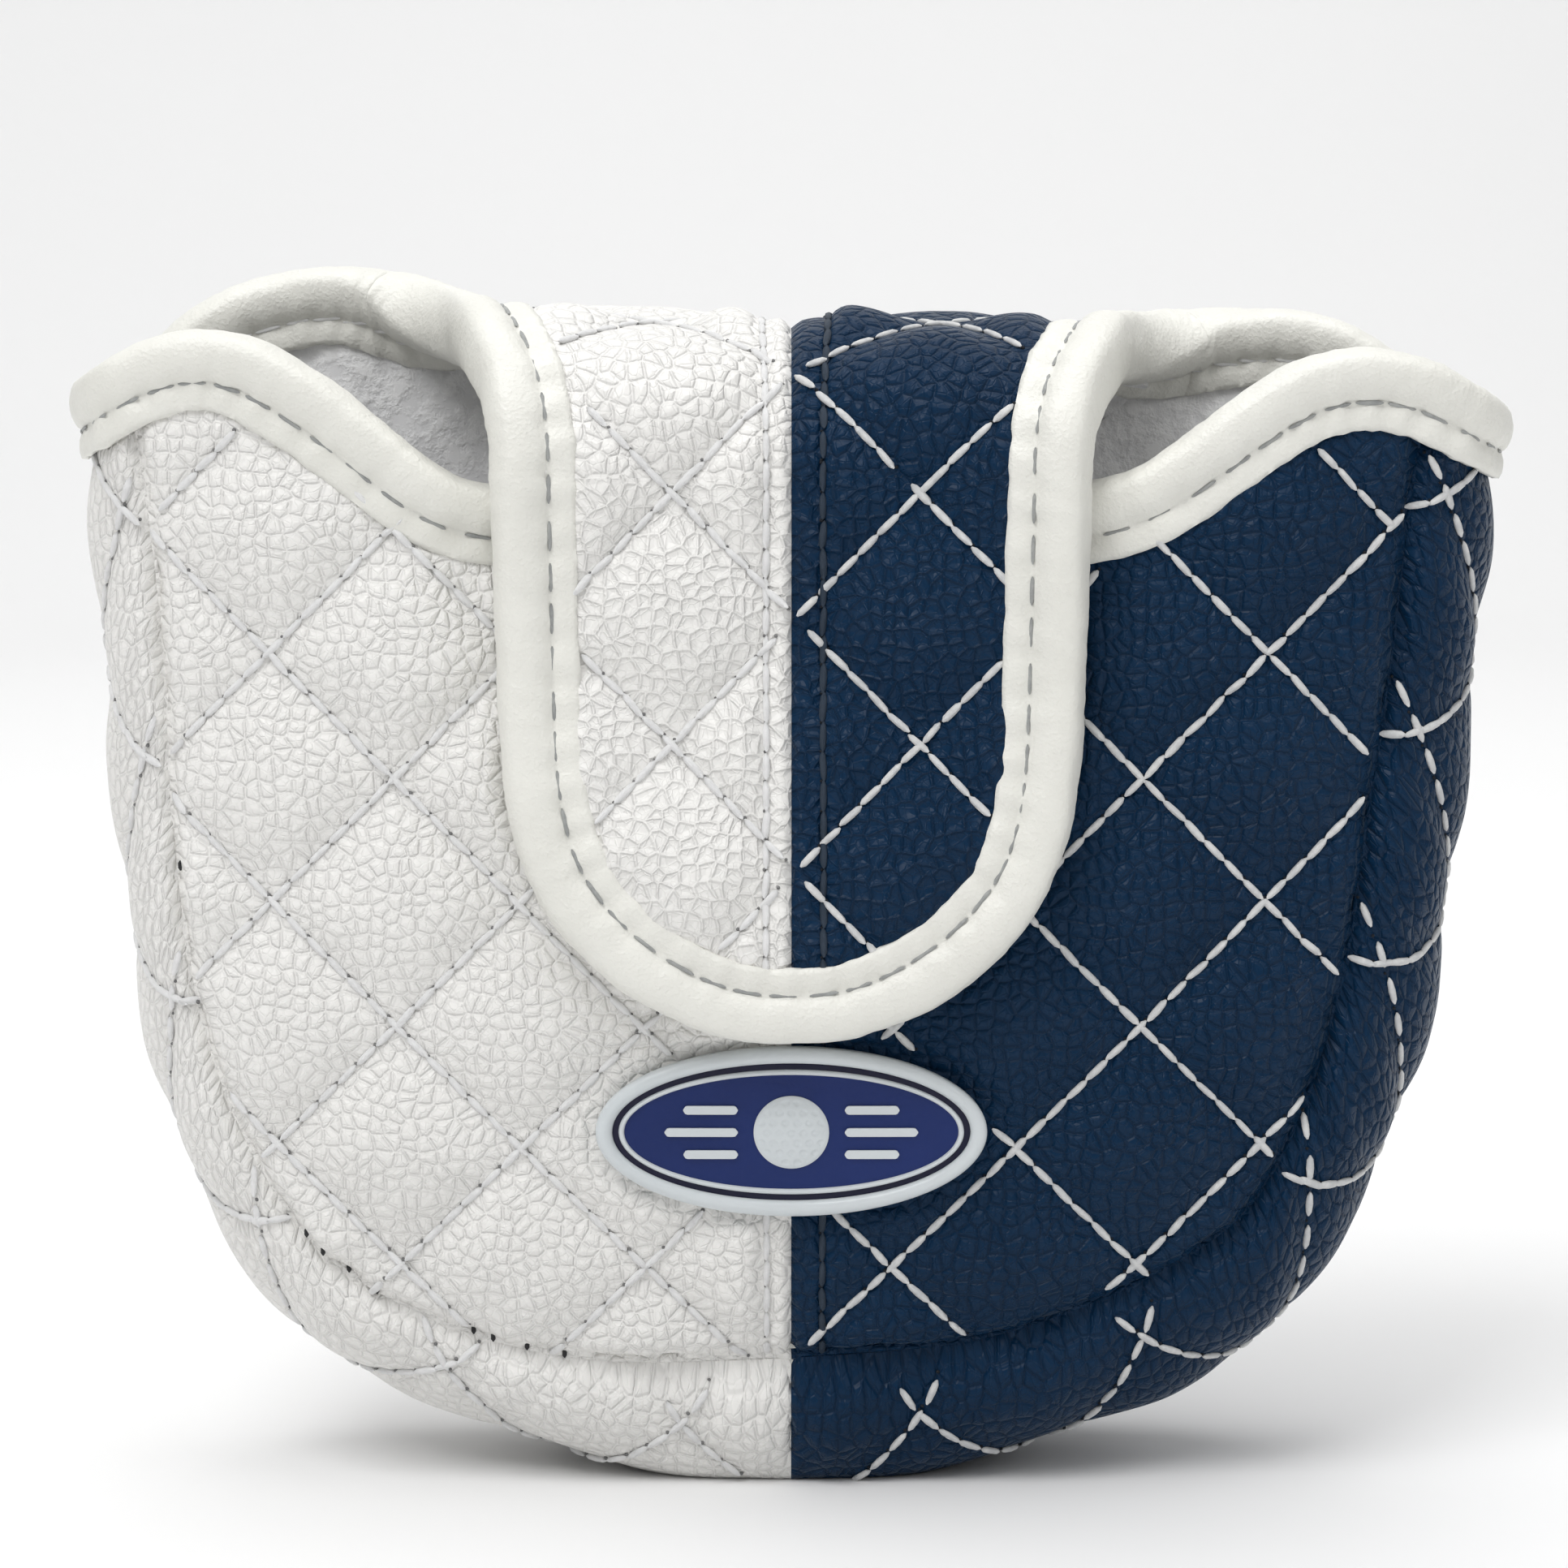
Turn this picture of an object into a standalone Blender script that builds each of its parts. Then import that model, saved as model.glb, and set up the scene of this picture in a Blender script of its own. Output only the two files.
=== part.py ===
"""Quilted putter head cover with a fold-over flap: every layer is its own solid.

Frame: +X right seen from the front, +Y to the back, +Z up, origin on the ground
under the middle of the pouch. Lengths below are in millimetres; MM turns them
into metres as the meshes are written.
"""
import math

import bmesh
import bpy
import numpy as np

MM = 0.001

# Overall size of the fabric pouch
BODY_WIDTH = 139.4
BODY_HEIGHT = 117.5
SEAM_DEPTH = 28.0
FRONT_CROWN = 5.0
BACK_CROWN = 4.5
CROWN_RUN = 45.0
FRONT_LEAN = 8.0
BACK_LEAN = 2.5
LEAN_RUN = 50.0

# Layers of the wall, from the outside in
SKIN = 1.0
PADDING = 2.0
LINING = 1.0
LAYER_GAP = 0.3
WALL = SKIN + PADDING + LINING + 2 * LAYER_GAP

# Bound edge: a folded strip that straddles the wall
BINDING_RISE = 2.1
BINDING_LEG = 3.6
BINDING_THICKNESS = 0.8
BINDING_CLEARANCE = 0.5
BINDING_REACH = BINDING_CLEARANCE + BINDING_THICKNESS

# Flap and the fold it turns about
FLAP_WIDTH = 55.5
FLAP_DROP = 53.4
MOUTH_TO_HINGE = 3.8
FOLD_RISE = 13.8
FOLD_FLARE = 4.6
FLAP_CLEARANCE = 1.7
FLAP_ROOT_CLEARANCE = 2.8
FLAP_SIDE_GAP = 1.3

# Badge and the magnet closure
BADGE_WIDTH = 37.4
BADGE_HEIGHT = 16.8
BADGE_THICKNESS = 1.2
BADGE_RIM = 0.7
BADGE_GAP = 0.4
BADGE_BELOW_FLAP = 0.6
MAGNET_DIAMETER = 12.0
MAGNET_THICKNESS = 1.2
MAGNET_POCKET_CLEARANCE = 0.6
MAGNET_ABOVE_TIP = 11.0

# Grid divisions
COLUMNS = 9
ROWS = 9
GUSSET_STEPS = 6
FLAP_COLUMNS = 4
FLAP_ROWS = 6
FOLD_STEPS = 8
BADGE_SEGMENTS = 28

# Outline points are drawn for this size; the mouth dips to DRAWN_MOUTH under the flap
DRAWN_WIDTH = 139.4
DRAWN_HEIGHT = 117.5
DRAWN_MOUTH = 95.7
HINGE_Z = DRAWN_MOUTH * BODY_HEIGHT / DRAWN_HEIGHT + MOUTH_TO_HINGE
HALF_SEAM = SEAM_DEPTH / 2
FLAP_HALF = FLAP_WIDTH / 2 - BINDING_RISE
NOTCH_HALF = FLAP_WIDTH / 2 + FLAP_SIDE_GAP

COLOURS = {
    "white": ((0.75, 0.745, 0.73), 0.45, 0.0),
    "navy": ((0.008, 0.028, 0.061), 0.42, 0.0),
    "binding": ((0.76, 0.76, 0.72), 0.5, 0.0),
    "foam": ((0.62, 0.62, 0.60), 0.95, 0.0),
    "lining": ((0.42, 0.42, 0.42), 0.98, 0.0),
    "badge": ((0.010, 0.026, 0.13), 0.4, 0.0),
    "steel": ((0.62, 0.62, 0.63), 0.35, 1.0),
}


# ---------------------------------------------------------------- outlines
def drawn(points):
    """Outline points (x, z), drawn at the pouch's own size, follow its width and height."""
    return np.array(points, float) * (BODY_WIDTH / DRAWN_WIDTH, BODY_HEIGHT / DRAWN_HEIGHT)


def mirrored(points):
    """The same outline on the other side."""
    return np.array(points, float) * (-1, 1)


def smooth_curve(points, per_span=24):
    """A dense Catmull-Rom curve through the points."""
    pts = np.asarray(points, float)
    pts = np.vstack([2 * pts[0] - pts[1], pts, 2 * pts[-1] - pts[-2]])
    t = np.linspace(0, 1, per_span, endpoint=False)[:, None]
    spans = []
    for a, b, c, d in zip(pts, pts[1:], pts[2:], pts[3:]):
        spans.append(0.5 * (2 * b + (c - a) * t + (2 * a - 5 * b + 4 * c - d) * t ** 2
                            + (3 * b - a - 3 * c + d) * t ** 3))
    return np.vstack(spans + [pts[-2][None]])


def evenly(curve, count):
    """count + 1 points at equal lengths along a dense curve."""
    steps = np.linalg.norm(np.diff(curve, axis=0), axis=1)
    along = np.concatenate([[0], np.cumsum(steps)])
    want = np.linspace(0, along[-1], count + 1)
    return np.stack([np.interp(want, along, curve[:, k]) for k in range(curve.shape[1])], axis=1)


def side_normals(points, side):
    """Unit normals of an outline that runs down and in; they point out of the pouch."""
    tangent = np.gradient(points, axis=0)
    normal = np.stack([-tangent[:, 1], tangent[:, 0]], axis=1) * side
    normal /= np.linalg.norm(normal, axis=1)[:, None]
    normal[-1] = (0, -1)
    return normal


OUTLINE_STEPS = COLUMNS + ROWS

FRONT_SEAM = {
    -1: drawn([(-63.2, 109.3), (-61.6, 98), (-60.2, 84), (-59.6, 68), (-58, 52), (-54.3, 38),
               (-46.5, 24.6), (-35, 17.2), (-20, 13.2), (0, 13.6)]),
    1: drawn([(60.6, 108.2), (59.1, 97.5), (57.4, 82), (55.4, 66), (53, 50), (49.8, 38.5),
              (44.6, 28.4), (35, 21.4), (19, 15.4), (0, 13.6)]),
}
BACK_SEAM = {
    -1: drawn([(-61.5, 111), (-61, 98), (-60, 80), (-58.5, 62), (-55.4, 45), (-49, 31),
               (-37, 19.6), (-19, 14), (0, 13)]),
    1: drawn([(61.3, 107.6), (61, 97), (60, 80), (58.5, 62), (55.4, 45), (49, 31),
              (37, 19.6), (19, 14), (0, 13)]),
}
GIRTH = {
    -1: drawn([(-69.7, 102.5), (-68.3, 91), (-67.2, 76), (-65.8, 58), (-63.4, 42), (-58.7, 27.6),
               (-50, 14.2), (-38.8, 7.2), (-24, 2.4), (-12, -0.9), (0, -1.6)]),
    1: drawn([(69.7, 102.5), (68.3, 91), (67, 76), (65.3, 58), (62.7, 42), (57.2, 27.6),
              (48.8, 14.2), (38.2, 7.2), (24, 2.4), (12, -0.9), (0, -1.6)]),
}

# Mouth edges, from the seam to the middle; the fabric ends here, under the binding
FRONT_EDGE = {
    -1: drawn([(-63.2, 109.3), (-57.5, 111), (-52, 110.4), (-46, 107.2), (-40, 102.8),
               (-35.5, 99.2), (-31, 96.8), (-24, 96), (-12, 95.8), (0, DRAWN_MOUTH)]),
    1: drawn([(60.6, 108.2), (55.5, 109.2), (50, 108.6), (44.8, 106), (40, 102.6),
              (35.5, 99.4), (30.6, 97), (24, 96), (12, 95.8), (0, DRAWN_MOUTH)]),
}


def back_edge(side):
    """The back's humps rise to a notch beside the flap; between the notches the fold begins."""
    hump = drawn({-1: [(61.5, 111), (57, 115.2), (51.5, 117.3), (46, 117.5), (40.5, 117)],
                  1: [(61.3, 107.6), (57, 110.6), (51.5, 112.6), (46, 113.1), (40.5, 112.9)]}[side])
    inner, corner = {-1: (15.8, 13.2), 1: (12.6, 11.6)}[side]
    notch = [(NOTCH_HALF + 6.0, HINGE_Z + inner), (NOTCH_HALF + 1.1, HINGE_Z + corner),
             (NOTCH_HALF, HINGE_Z - 0.2), (NOTCH_HALF / 2, HINGE_Z - 0.2), (0, HINGE_Z - 0.2)]
    notch = np.array(notch)
    return np.vstack([hump, notch]) * (side, 1)


def outline(curves, side):
    """Evenly spaced outline points that neighbouring pieces share."""
    return evenly(smooth_curve(curves[side]), OUTLINE_STEPS)


# ---------------------------------------------------------------- wall surfaces
def half_width(curves, side, z):
    """Width of the pouch from its middle to the seam at a height."""
    curve = smooth_curve(curves[side])
    order = np.argsort(curve[:, 1])
    return np.interp(z, curve[order, 1], np.abs(curve[order, 0]))


def smoothstep(a):
    a = np.clip(a, 0, 1)
    return a * a * (3 - 2 * a)


def swell(curves, x, z):
    """0 on the seam and 1 in the middle of a panel."""
    side = -1 if x < 0 else 1
    reach = min(abs(x) / max(half_width(curves, side, z), 1e-6), 1.0)
    low = curves[side][-1][1]
    rise = float(np.clip((z - low) / CROWN_RUN, 0, 1))
    return (1 - reach ** 2.6) * (1 - (1 - rise) ** 2)


def lean(x, z):
    """The middle of the mouth draws in under the flap."""
    across = math.cos(min(abs(x) / (FLAP_WIDTH * 0.88), 1.0) * math.pi / 2) ** 2
    return across * float(smoothstep((z - HINGE_Z + LEAN_RUN) / LEAN_RUN))


def front_y(x, z):
    return -HALF_SEAM - FRONT_CROWN * swell(FRONT_SEAM, x, z) + FRONT_LEAN * lean(x, z)


def back_y(x, z):
    return HALF_SEAM + BACK_CROWN * swell(BACK_SEAM, x, z) - BACK_LEAN * lean(x, z)


def flap_y(x, z):
    """Outer face of the flap where it hangs over the front."""
    near_root = float(smoothstep((z - HINGE_Z + 22) / 16))
    clearance = FLAP_CLEARANCE + (FLAP_ROOT_CLEARANCE - FLAP_CLEARANCE) * near_root
    return front_y(x, z) - clearance - WALL


def front_at(x, z, depth):
    return np.array((x, front_y(x, z) + depth, z))


def back_at(x, z, depth):
    return np.array((x, back_y(x, z) - depth, z))


def flap_at(x, z, depth):
    return np.array((x, flap_y(x, z) + depth, z))


def fold_at(x, turn, depth):
    """Elliptic roll from the back wall (turn 0) over the top to the flap (turn 1), widest
    near the top."""
    back, front = back_y(x, HINGE_Z), flap_y(x, HINGE_Z)
    angle = math.pi * turn
    y = (back + front) / 2 + ((back - front) / 2 - depth) * math.cos(angle)
    wide = float(smoothstep((turn - 0.16) / 0.22) * (1 - smoothstep((turn - 0.5) / 0.42)))
    x = x * (1 + FOLD_FLARE / FLAP_HALF * wide)
    return np.array((x, y, HINGE_Z + 0.1 + (FOLD_RISE - depth) * math.sin(angle)))


HINGE_Y = (back_y(0, HINGE_Z) + flap_y(0, HINGE_Z)) / 2


class Gusset:
    """The band round the sides and the bottom: a superelliptic roll from seam to seam."""

    def __init__(self, side):
        self.side = side
        self.front = outline(FRONT_SEAM, side)
        self.back = outline(BACK_SEAM, side)
        self.girth = outline(GIRTH, side)
        gap = LAYER_GAP / 2
        self.front += side_normals(self.front, side) * gap
        self.back += side_normals(self.back, side) * gap
        self.inward = -side_normals(self.girth, side)

    def at(self, k, step, depth, middle=0.0):
        angle = math.pi * step / GUSSET_STEPS
        power = 2 / (2.2 + 0.9 * float(smoothstep(k / OUTLINE_STEPS * 3 - 2)))
        cos, sin = math.cos(angle), math.sin(angle)
        across = math.copysign(abs(cos) ** power, cos) if abs(cos) > 1e-9 else 0.0
        bulge = max(sin, 0.0) ** power if sin > 1e-9 else 0.0
        share = (1 - across) / 2
        base = (1 - share) * self.front[k] + share * self.back[k]
        x, z = base + (self.girth[k] + self.inward[k] * depth - base) * bulge
        if k == OUTLINE_STEPS:
            x = self.side * middle
        return np.array((x, -(HALF_SEAM - depth) * across, max(z, depth)))


GUSSETS = {-1: Gusset(-1), 1: Gusset(1)}


# ---------------------------------------------------------------- grids
def coons(top, side, bottom, centre):
    """Grid of (x, z) points filling four edges: columns from the side in, rows down."""
    u = np.linspace(0, 1, len(top))[:, None, None]
    v = np.linspace(0, 1, len(side))[None, :, None]
    ruled = (1 - v) * top[:, None] + v * bottom[:, None]
    ruled = ruled + (1 - u) * side[None] + u * centre[None]
    corners = (1 - u) * (1 - v) * top[0] + u * (1 - v) * top[-1]
    corners = corners + (1 - u) * v * bottom[0] + u * v * bottom[-1]
    return ruled - corners


def half_grid(edge, seam, rows, middle):
    """Half a panel whose inner column stands at x = middle."""
    seam = np.array(seam)
    top = np.array(edge)
    top[0] = seam[0]
    top[-1, 0] = middle
    seam[-1, 0] = middle
    centre = np.linspace(top[-1], seam[-1], rows + 1)
    return coons(top, seam[:rows + 1], seam[rows:], centre)


def panel_grid(edges, curves, side, middle):
    """Half of the front or back, its outer column just inside the seam."""
    seam = outline(curves, side)
    seam = seam - side_normals(seam, side) * LAYER_GAP / 2
    return half_grid(edges[side], seam, ROWS, middle)


def flap_outline(side):
    """Fabric edge of the flap, from its root to the tip."""
    shape = np.array([(1, 0), (0.993, 0.2), (0.985, 0.4), (0.965, 0.57), (0.90, 0.71),
                      (0.776, 0.81), (0.61, 0.89), (0.40, 0.955), (0.2, 0.99), (0, 1)])
    drop = FLAP_DROP - BINDING_RISE
    curve = np.stack([side * FLAP_HALF * shape[:, 0], HINGE_Z - 0.2 - drop * shape[:, 1]], axis=1)
    return evenly(smooth_curve(curve), FLAP_COLUMNS + FLAP_ROWS)


def flap_grid(side, middle):
    seam = flap_outline(side)
    top = np.linspace((side * FLAP_HALF, HINGE_Z - 0.2), (0, HINGE_Z - 0.2), FLAP_COLUMNS + 1)
    return half_grid(top, seam, FLAP_ROWS, middle)


def whole(make):
    """Left and right halves of a grid joined on the middle column."""
    left, right = make(-1, 0.0), make(1, 0.0)
    return np.concatenate([left, right[::-1][1:]])


# ---------------------------------------------------------------- objects
def clear_scene():
    for obj in list(bpy.data.objects):
        bpy.data.objects.remove(obj, do_unlink=True)


def collection(name):
    made = bpy.data.collections.new(name)
    bpy.context.scene.collection.children.link(made)
    return made


def material(name):
    made = bpy.data.materials.get(name)
    if made is None:
        made = bpy.data.materials.new(name)
        made.use_nodes = True
        colour, roughness, metallic = COLOURS[name]
        shader = made.node_tree.nodes["Principled BSDF"]
        shader.inputs["Base Color"].default_value = (*colour, 1.0)
        shader.inputs["Roughness"].default_value = roughness
        shader.inputs["Metallic"].default_value = metallic
        made.diffuse_color = (*colour, 1.0)
    return made


clear_scene()
PARTS = collection("putter_head_cover")
CUTTERS = collection("cutters")
HINGE = bpy.data.objects.new("flap_hinge", None)
HINGE.location = (0.0, HINGE_Y * MM, HINGE_Z * MM)
HINGE.empty_display_size = 0.02
PARTS.objects.link(HINGE)


def finish(name, bm, finish_name, on_flap=False):
    """Turns a bmesh in millimetres into a named object; flap pieces hang on the hinge empty."""
    origin = np.array((0.0, HINGE_Y, HINGE_Z)) if on_flap else np.zeros(3)
    for vert in bm.verts:
        vert.co = [(value - start) * MM for value, start in zip(vert.co, origin)]
    bmesh.ops.recalc_face_normals(bm, faces=bm.faces)
    if bm.calc_volume(signed=True) < 0:
        bmesh.ops.reverse_faces(bm, faces=bm.faces)
    mesh = bpy.data.meshes.new(name)
    bm.to_mesh(mesh)
    bm.free()
    mesh.materials.append(material(finish_name))
    mesh.shade_smooth()
    mesh.set_sharp_from_angle(angle=math.radians(50))
    obj = bpy.data.objects.new(name, mesh)
    PARTS.objects.link(obj)
    if on_flap:
        obj.parent = HINGE
    return obj


def slab(name, columns, rows, place, finish_name, on_flap=False):
    """A flat extruded grid, warped: place(i, j, k) gives each corner, k 0 outside, 1 inside."""
    bm = bmesh.new()
    bmesh.ops.create_grid(bm, x_segments=columns, y_segments=rows, size=0.5)
    bmesh.ops.triangulate(bm, faces=bm.faces[:], quad_method="FIXED")
    grown = bmesh.ops.extrude_face_region(bm, geom=bm.faces[:])["geom"]
    moved = [item for item in grown if isinstance(item, bmesh.types.BMVert)]
    bmesh.ops.translate(bm, vec=(0, 0, 1), verts=moved)
    for vert in bm.verts:
        i = round((vert.co.x + 0.5) * columns)
        j = round((vert.co.y + 0.5) * rows)
        vert.co = place(i, j, round(vert.co.z))
    return finish(name, bm, finish_name, on_flap)


def sheet(name, grid, at, layer, finish_name, on_flap=False):
    """One layer of a wall over a grid of (x, z) points."""
    return slab(name, grid.shape[0] - 1, grid.shape[1] - 1,
                lambda i, j, k: at(*grid[i, j], layer[k]), finish_name, on_flap)


def loft(name, rows, finish_name, on_flap=False):
    """A closed body through equal closed sections, capped at both ends."""
    bm = bmesh.new()
    rings = [[bm.verts.new(point) for point in row] for row in rows]
    count = len(rings[0])
    for near, far in zip(rings, rings[1:]):
        for k in range(count):
            bm.faces.new((near[k], near[(k + 1) % count], far[(k + 1) % count], far[k]))
    bm.faces.new(rings[0][::-1])
    bm.faces.new(rings[-1])
    return finish(name, bm, finish_name, on_flap)


# ---------------------------------------------------------------- layers
LAYERS = {
    "skin": (0.0, SKIN),
    "padding": (SKIN + LAYER_GAP, SKIN + LAYER_GAP + PADDING),
    "lining": (WALL - LINING, WALL),
}
BACK_EDGE = {side: back_edge(side) for side in (-1, 1)}
SEAM_SPLIT = LAYER_GAP / 2


def front_grid(side, middle):
    return panel_grid(FRONT_EDGE, FRONT_SEAM, side, middle)


def back_grid(side, middle):
    return panel_grid(BACK_EDGE, BACK_SEAM, side, middle)


def fold_grid(start, end, columns):
    """Columns across the fold, rows round it, as (x, turn)."""
    grid = np.empty((columns + 1, FOLD_STEPS + 1, 2))
    grid[..., 0] = np.linspace(start, end, columns + 1)[:, None]
    grid[..., 1] = np.linspace(0.004, 0.996, FOLD_STEPS + 1)[None]
    return grid


def make_skins():
    """White on the left, navy on the right; every grid runs from left to right."""
    layer = LAYERS["skin"]
    for side, finish_name in ((-1, "white"), (1, "navy")):
        middle = side * SEAM_SPLIT
        grids = {
            "front": (front_grid(side, middle), front_at),
            "back": (back_grid(side, middle), back_at),
            "flap": (flap_grid(side, middle), flap_at),
            "fold": (fold_grid(side * FLAP_HALF, middle, FLAP_COLUMNS), fold_at),
        }
        for place, (grid, at) in grids.items():
            sheet(f"{place}_{finish_name}_panel", grid[::-side], at, layer, finish_name,
                  on_flap=place == "flap")

        def gusset_at(i, j, k, side=side):
            count = i if side < 0 else OUTLINE_STEPS - i
            return GUSSETS[side].at(count, j, layer[k], SEAM_SPLIT)

        slab(f"gusset_{finish_name}_panel", OUTLINE_STEPS, GUSSET_STEPS, gusset_at, finish_name)


def gusset_point(i, j, depth):
    """A point of the whole gusset, counted from the left mouth round to the right one."""
    if i <= OUTLINE_STEPS:
        return GUSSETS[-1].at(i, j, depth)
    return GUSSETS[1].at(2 * OUTLINE_STEPS - i, j, depth)


def make_inner(kind, finish_name):
    """Padding or lining: each piece runs across both colours."""
    layer = LAYERS[kind]
    made = {
        "front": sheet(f"front_{kind}", whole(front_grid), front_at, layer, finish_name),
        "back": sheet(f"back_{kind}", whole(back_grid), back_at, layer, finish_name),
        "flap": sheet(f"flap_{kind}", whole(flap_grid), flap_at, layer, finish_name, True),
        "fold": sheet(f"fold_{kind}", fold_grid(-FLAP_HALF, FLAP_HALF, 2 * FLAP_COLUMNS),
                      fold_at, layer, finish_name),
        "gusset": slab(f"gusset_{kind}", 2 * OUTLINE_STEPS, GUSSET_STEPS,
                       lambda i, j, k: gusset_point(i, j, layer[k]), finish_name),
    }
    return made


# ---------------------------------------------------------------- bindings
def channel():
    """Section of the folded strip: (outward from the fabric edge, depth through the wall)."""
    out, clear = BINDING_REACH, BINDING_CLEARANCE
    top, leg = BINDING_RISE, -BINDING_LEG
    bridge = BINDING_RISE - 1.15
    return [(leg, -out), (0.5, -out), (top - 0.5, -0.45), (top, WALL * 0.3), (top, WALL * 0.7),
            (top - 0.5, WALL + 0.45), (0.5, WALL + out), (leg, WALL + out),
            (leg, WALL + clear), (bridge, WALL + clear), (bridge, WALL / 2), (bridge, -clear),
            (leg, -clear)]


def edge_normals(points):
    """Upward unit normals of a mouth edge."""
    tangent = np.gradient(points, axis=0)
    normal = np.stack([-tangent[:, 1], tangent[:, 0]], axis=1)
    normal /= np.linalg.norm(normal, axis=1)[:, None]
    return normal * np.where(normal[:, 1:] < 0, -1, 1)


def edge_rows(points, normals, at):
    """Sections standing on an edge of (x, z) points."""
    rows = []
    for point, normal in zip(points, normals):
        rows.append([at(*(point + normal * m), depth) for m, depth in channel()])
    return rows


def gusset_rows(side):
    """Sections over the gusset's mouth, from the front seam to the back seam, ends left out."""
    gusset = GUSSETS[side]

    def above(step, m, depth):
        edge = gusset.at(0, step, depth)
        up = edge - gusset.at(1, step, depth)
        return edge + up / np.linalg.norm(up) * m

    return [[above(step, m, depth) for m, depth in channel()] for step in range(1, GUSSET_STEPS)]


def make_mouth_binding():
    """One strip: left hump, left side, front, right side, right hump."""
    front = np.concatenate([FRONT_EDGE[-1], FRONT_EDGE[1][::-1][1:]])
    front_rows = edge_rows(front, edge_normals(front), front_at)
    humps = {}
    for side in (-1, 1):
        hump = BACK_EDGE[side][:7]
        humps[side] = edge_rows(hump, edge_normals(hump), back_at)
    rows = humps[-1][::-1] + gusset_rows(-1)[::-1] + front_rows + gusset_rows(1) + humps[1]
    loft("mouth_binding", rows, "binding")


def make_flap_binding():
    """One strip down one side of the flap, round its tip and up the other."""
    left, right = flap_outline(-1), flap_outline(1)
    edge = np.concatenate([left, right[::-1][1:]])
    tangent = np.gradient(edge, axis=0)
    normal = np.stack([tangent[:, 1], -tangent[:, 0]], axis=1)
    normal /= np.linalg.norm(normal, axis=1)[:, None]
    normal[0], normal[-1] = (-1, 0), (1, 0)
    loft("flap_binding", edge_rows(edge, normal, flap_at), "binding", on_flap=True)


def make_fold_bindings():
    """The strip where it crosses the fold on each side."""
    for side, name in ((-1, "fold_binding_left"), (1, "fold_binding_right")):
        rows = []
        for turn in np.linspace(0.004, 0.996, FOLD_STEPS + 1):
            rows.append([fold_at(side * (FLAP_HALF + m), turn, depth) for m, depth in channel()])
        loft(name, rows, "binding")


# ---------------------------------------------------------------- badge and magnets
def make_badge():
    """An oval moulded badge with a raised rim, bent to the front."""
    tip = HINGE_Z - 0.2 - FLAP_DROP
    centre_z = tip - BADGE_BELOW_FLAP - BADGE_HEIGHT / 2
    full = BADGE_THICKNESS + BADGE_RIM
    profile = [(0.45, BADGE_THICKNESS), (0.80, BADGE_THICKNESS), (0.85, full), (0.94, full),
               (1.0, full - 0.5), (1.0, 0.0), (0.45, 0.0)]
    bm = bmesh.new()
    rings = []
    for radius, height in profile:
        ring = []
        for k in range(BADGE_SEGMENTS):
            angle = 2 * math.pi * k / BADGE_SEGMENTS
            x = BADGE_WIDTH / 2 * radius * math.cos(angle)
            z = centre_z + BADGE_HEIGHT / 2 * radius * math.sin(angle)
            ring.append(bm.verts.new((x, front_y(x, z) - BADGE_GAP - height, z)))
        rings.append(ring)
    for near, far in zip(rings, rings[1:]):
        for k in range(BADGE_SEGMENTS):
            after = (k + 1) % BADGE_SEGMENTS
            bm.faces.new((near[k], near[after], far[after], far[k]))
    middle = front_y(0, centre_z) - BADGE_GAP
    for ring, height in ((rings[0], BADGE_THICKNESS), (rings[-1], 0.0)):
        pole = bm.verts.new((0, middle - height, centre_z))
        for k in range(BADGE_SEGMENTS):
            bm.faces.new((ring[k], ring[(k + 1) % BADGE_SEGMENTS], pole))
    finish("badge", bm, "badge")


def disc(diameter, thickness, centre, slope):
    """A short cylinder along Y, in millimetres, leaning with the wall it lies in."""
    bm = bmesh.new()
    bmesh.ops.create_cone(bm, cap_ends=True, segments=24, radius1=diameter / 2,
                          radius2=diameter / 2, depth=thickness)
    for vert in bm.verts:
        x, up, along = vert.co
        vert.co = (x + centre[0], slope * up - along + centre[1], up + centre[2])
    return bm


def make_magnet(name, at, pad, on_flap):
    """A disc magnet in a pocket cut through the padding."""
    z = HINGE_Z - FLAP_DROP + MAGNET_ABOVE_TIP
    centre = at(0.0, z, SKIN + LAYER_GAP + PADDING / 2)
    reach = MAGNET_DIAMETER / 2
    slope = (at(0.0, z + reach, 0)[1] - at(0.0, z - reach, 0)[1]) / (2 * reach)
    finish(name, disc(MAGNET_DIAMETER, MAGNET_THICKNESS, centre, slope), "steel", on_flap)
    pocket = MAGNET_DIAMETER + 2 * MAGNET_POCKET_CLEARANCE
    bm = disc(pocket, PADDING + 2 * LAYER_GAP + 2 * LINING, centre, slope)
    cutter = finish(f"{name}_pocket_cutter", bm, "steel", on_flap)
    PARTS.objects.unlink(cutter)
    CUTTERS.objects.link(cutter)
    cutter.hide_render = True
    cutter.display_type = "WIRE"
    cut = pad.modifiers.new("magnet_pocket", "BOOLEAN")
    cut.operation = "DIFFERENCE"
    cut.solver = "EXACT"
    cut.object = cutter


make_skins()
padding = make_inner("padding", "foam")
make_inner("lining", "lining")
make_mouth_binding()
make_flap_binding()
make_fold_bindings()
make_badge()
make_magnet("flap_magnet", flap_at, padding["flap"], on_flap=True)
make_magnet("front_magnet", front_at, padding["front"], on_flap=False)
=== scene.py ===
"""Quilted mallet putter head cover: leather skins, bound edges, plush lining and moulded badge.

Frame: +X right seen from the front, +Y to the back, +Z up. Shapes are worked out in
millimetres and turned into metres as each mesh is made.
"""
from __future__ import annotations

import logging
import math
from dataclasses import dataclass, field
from enum import Enum

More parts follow.
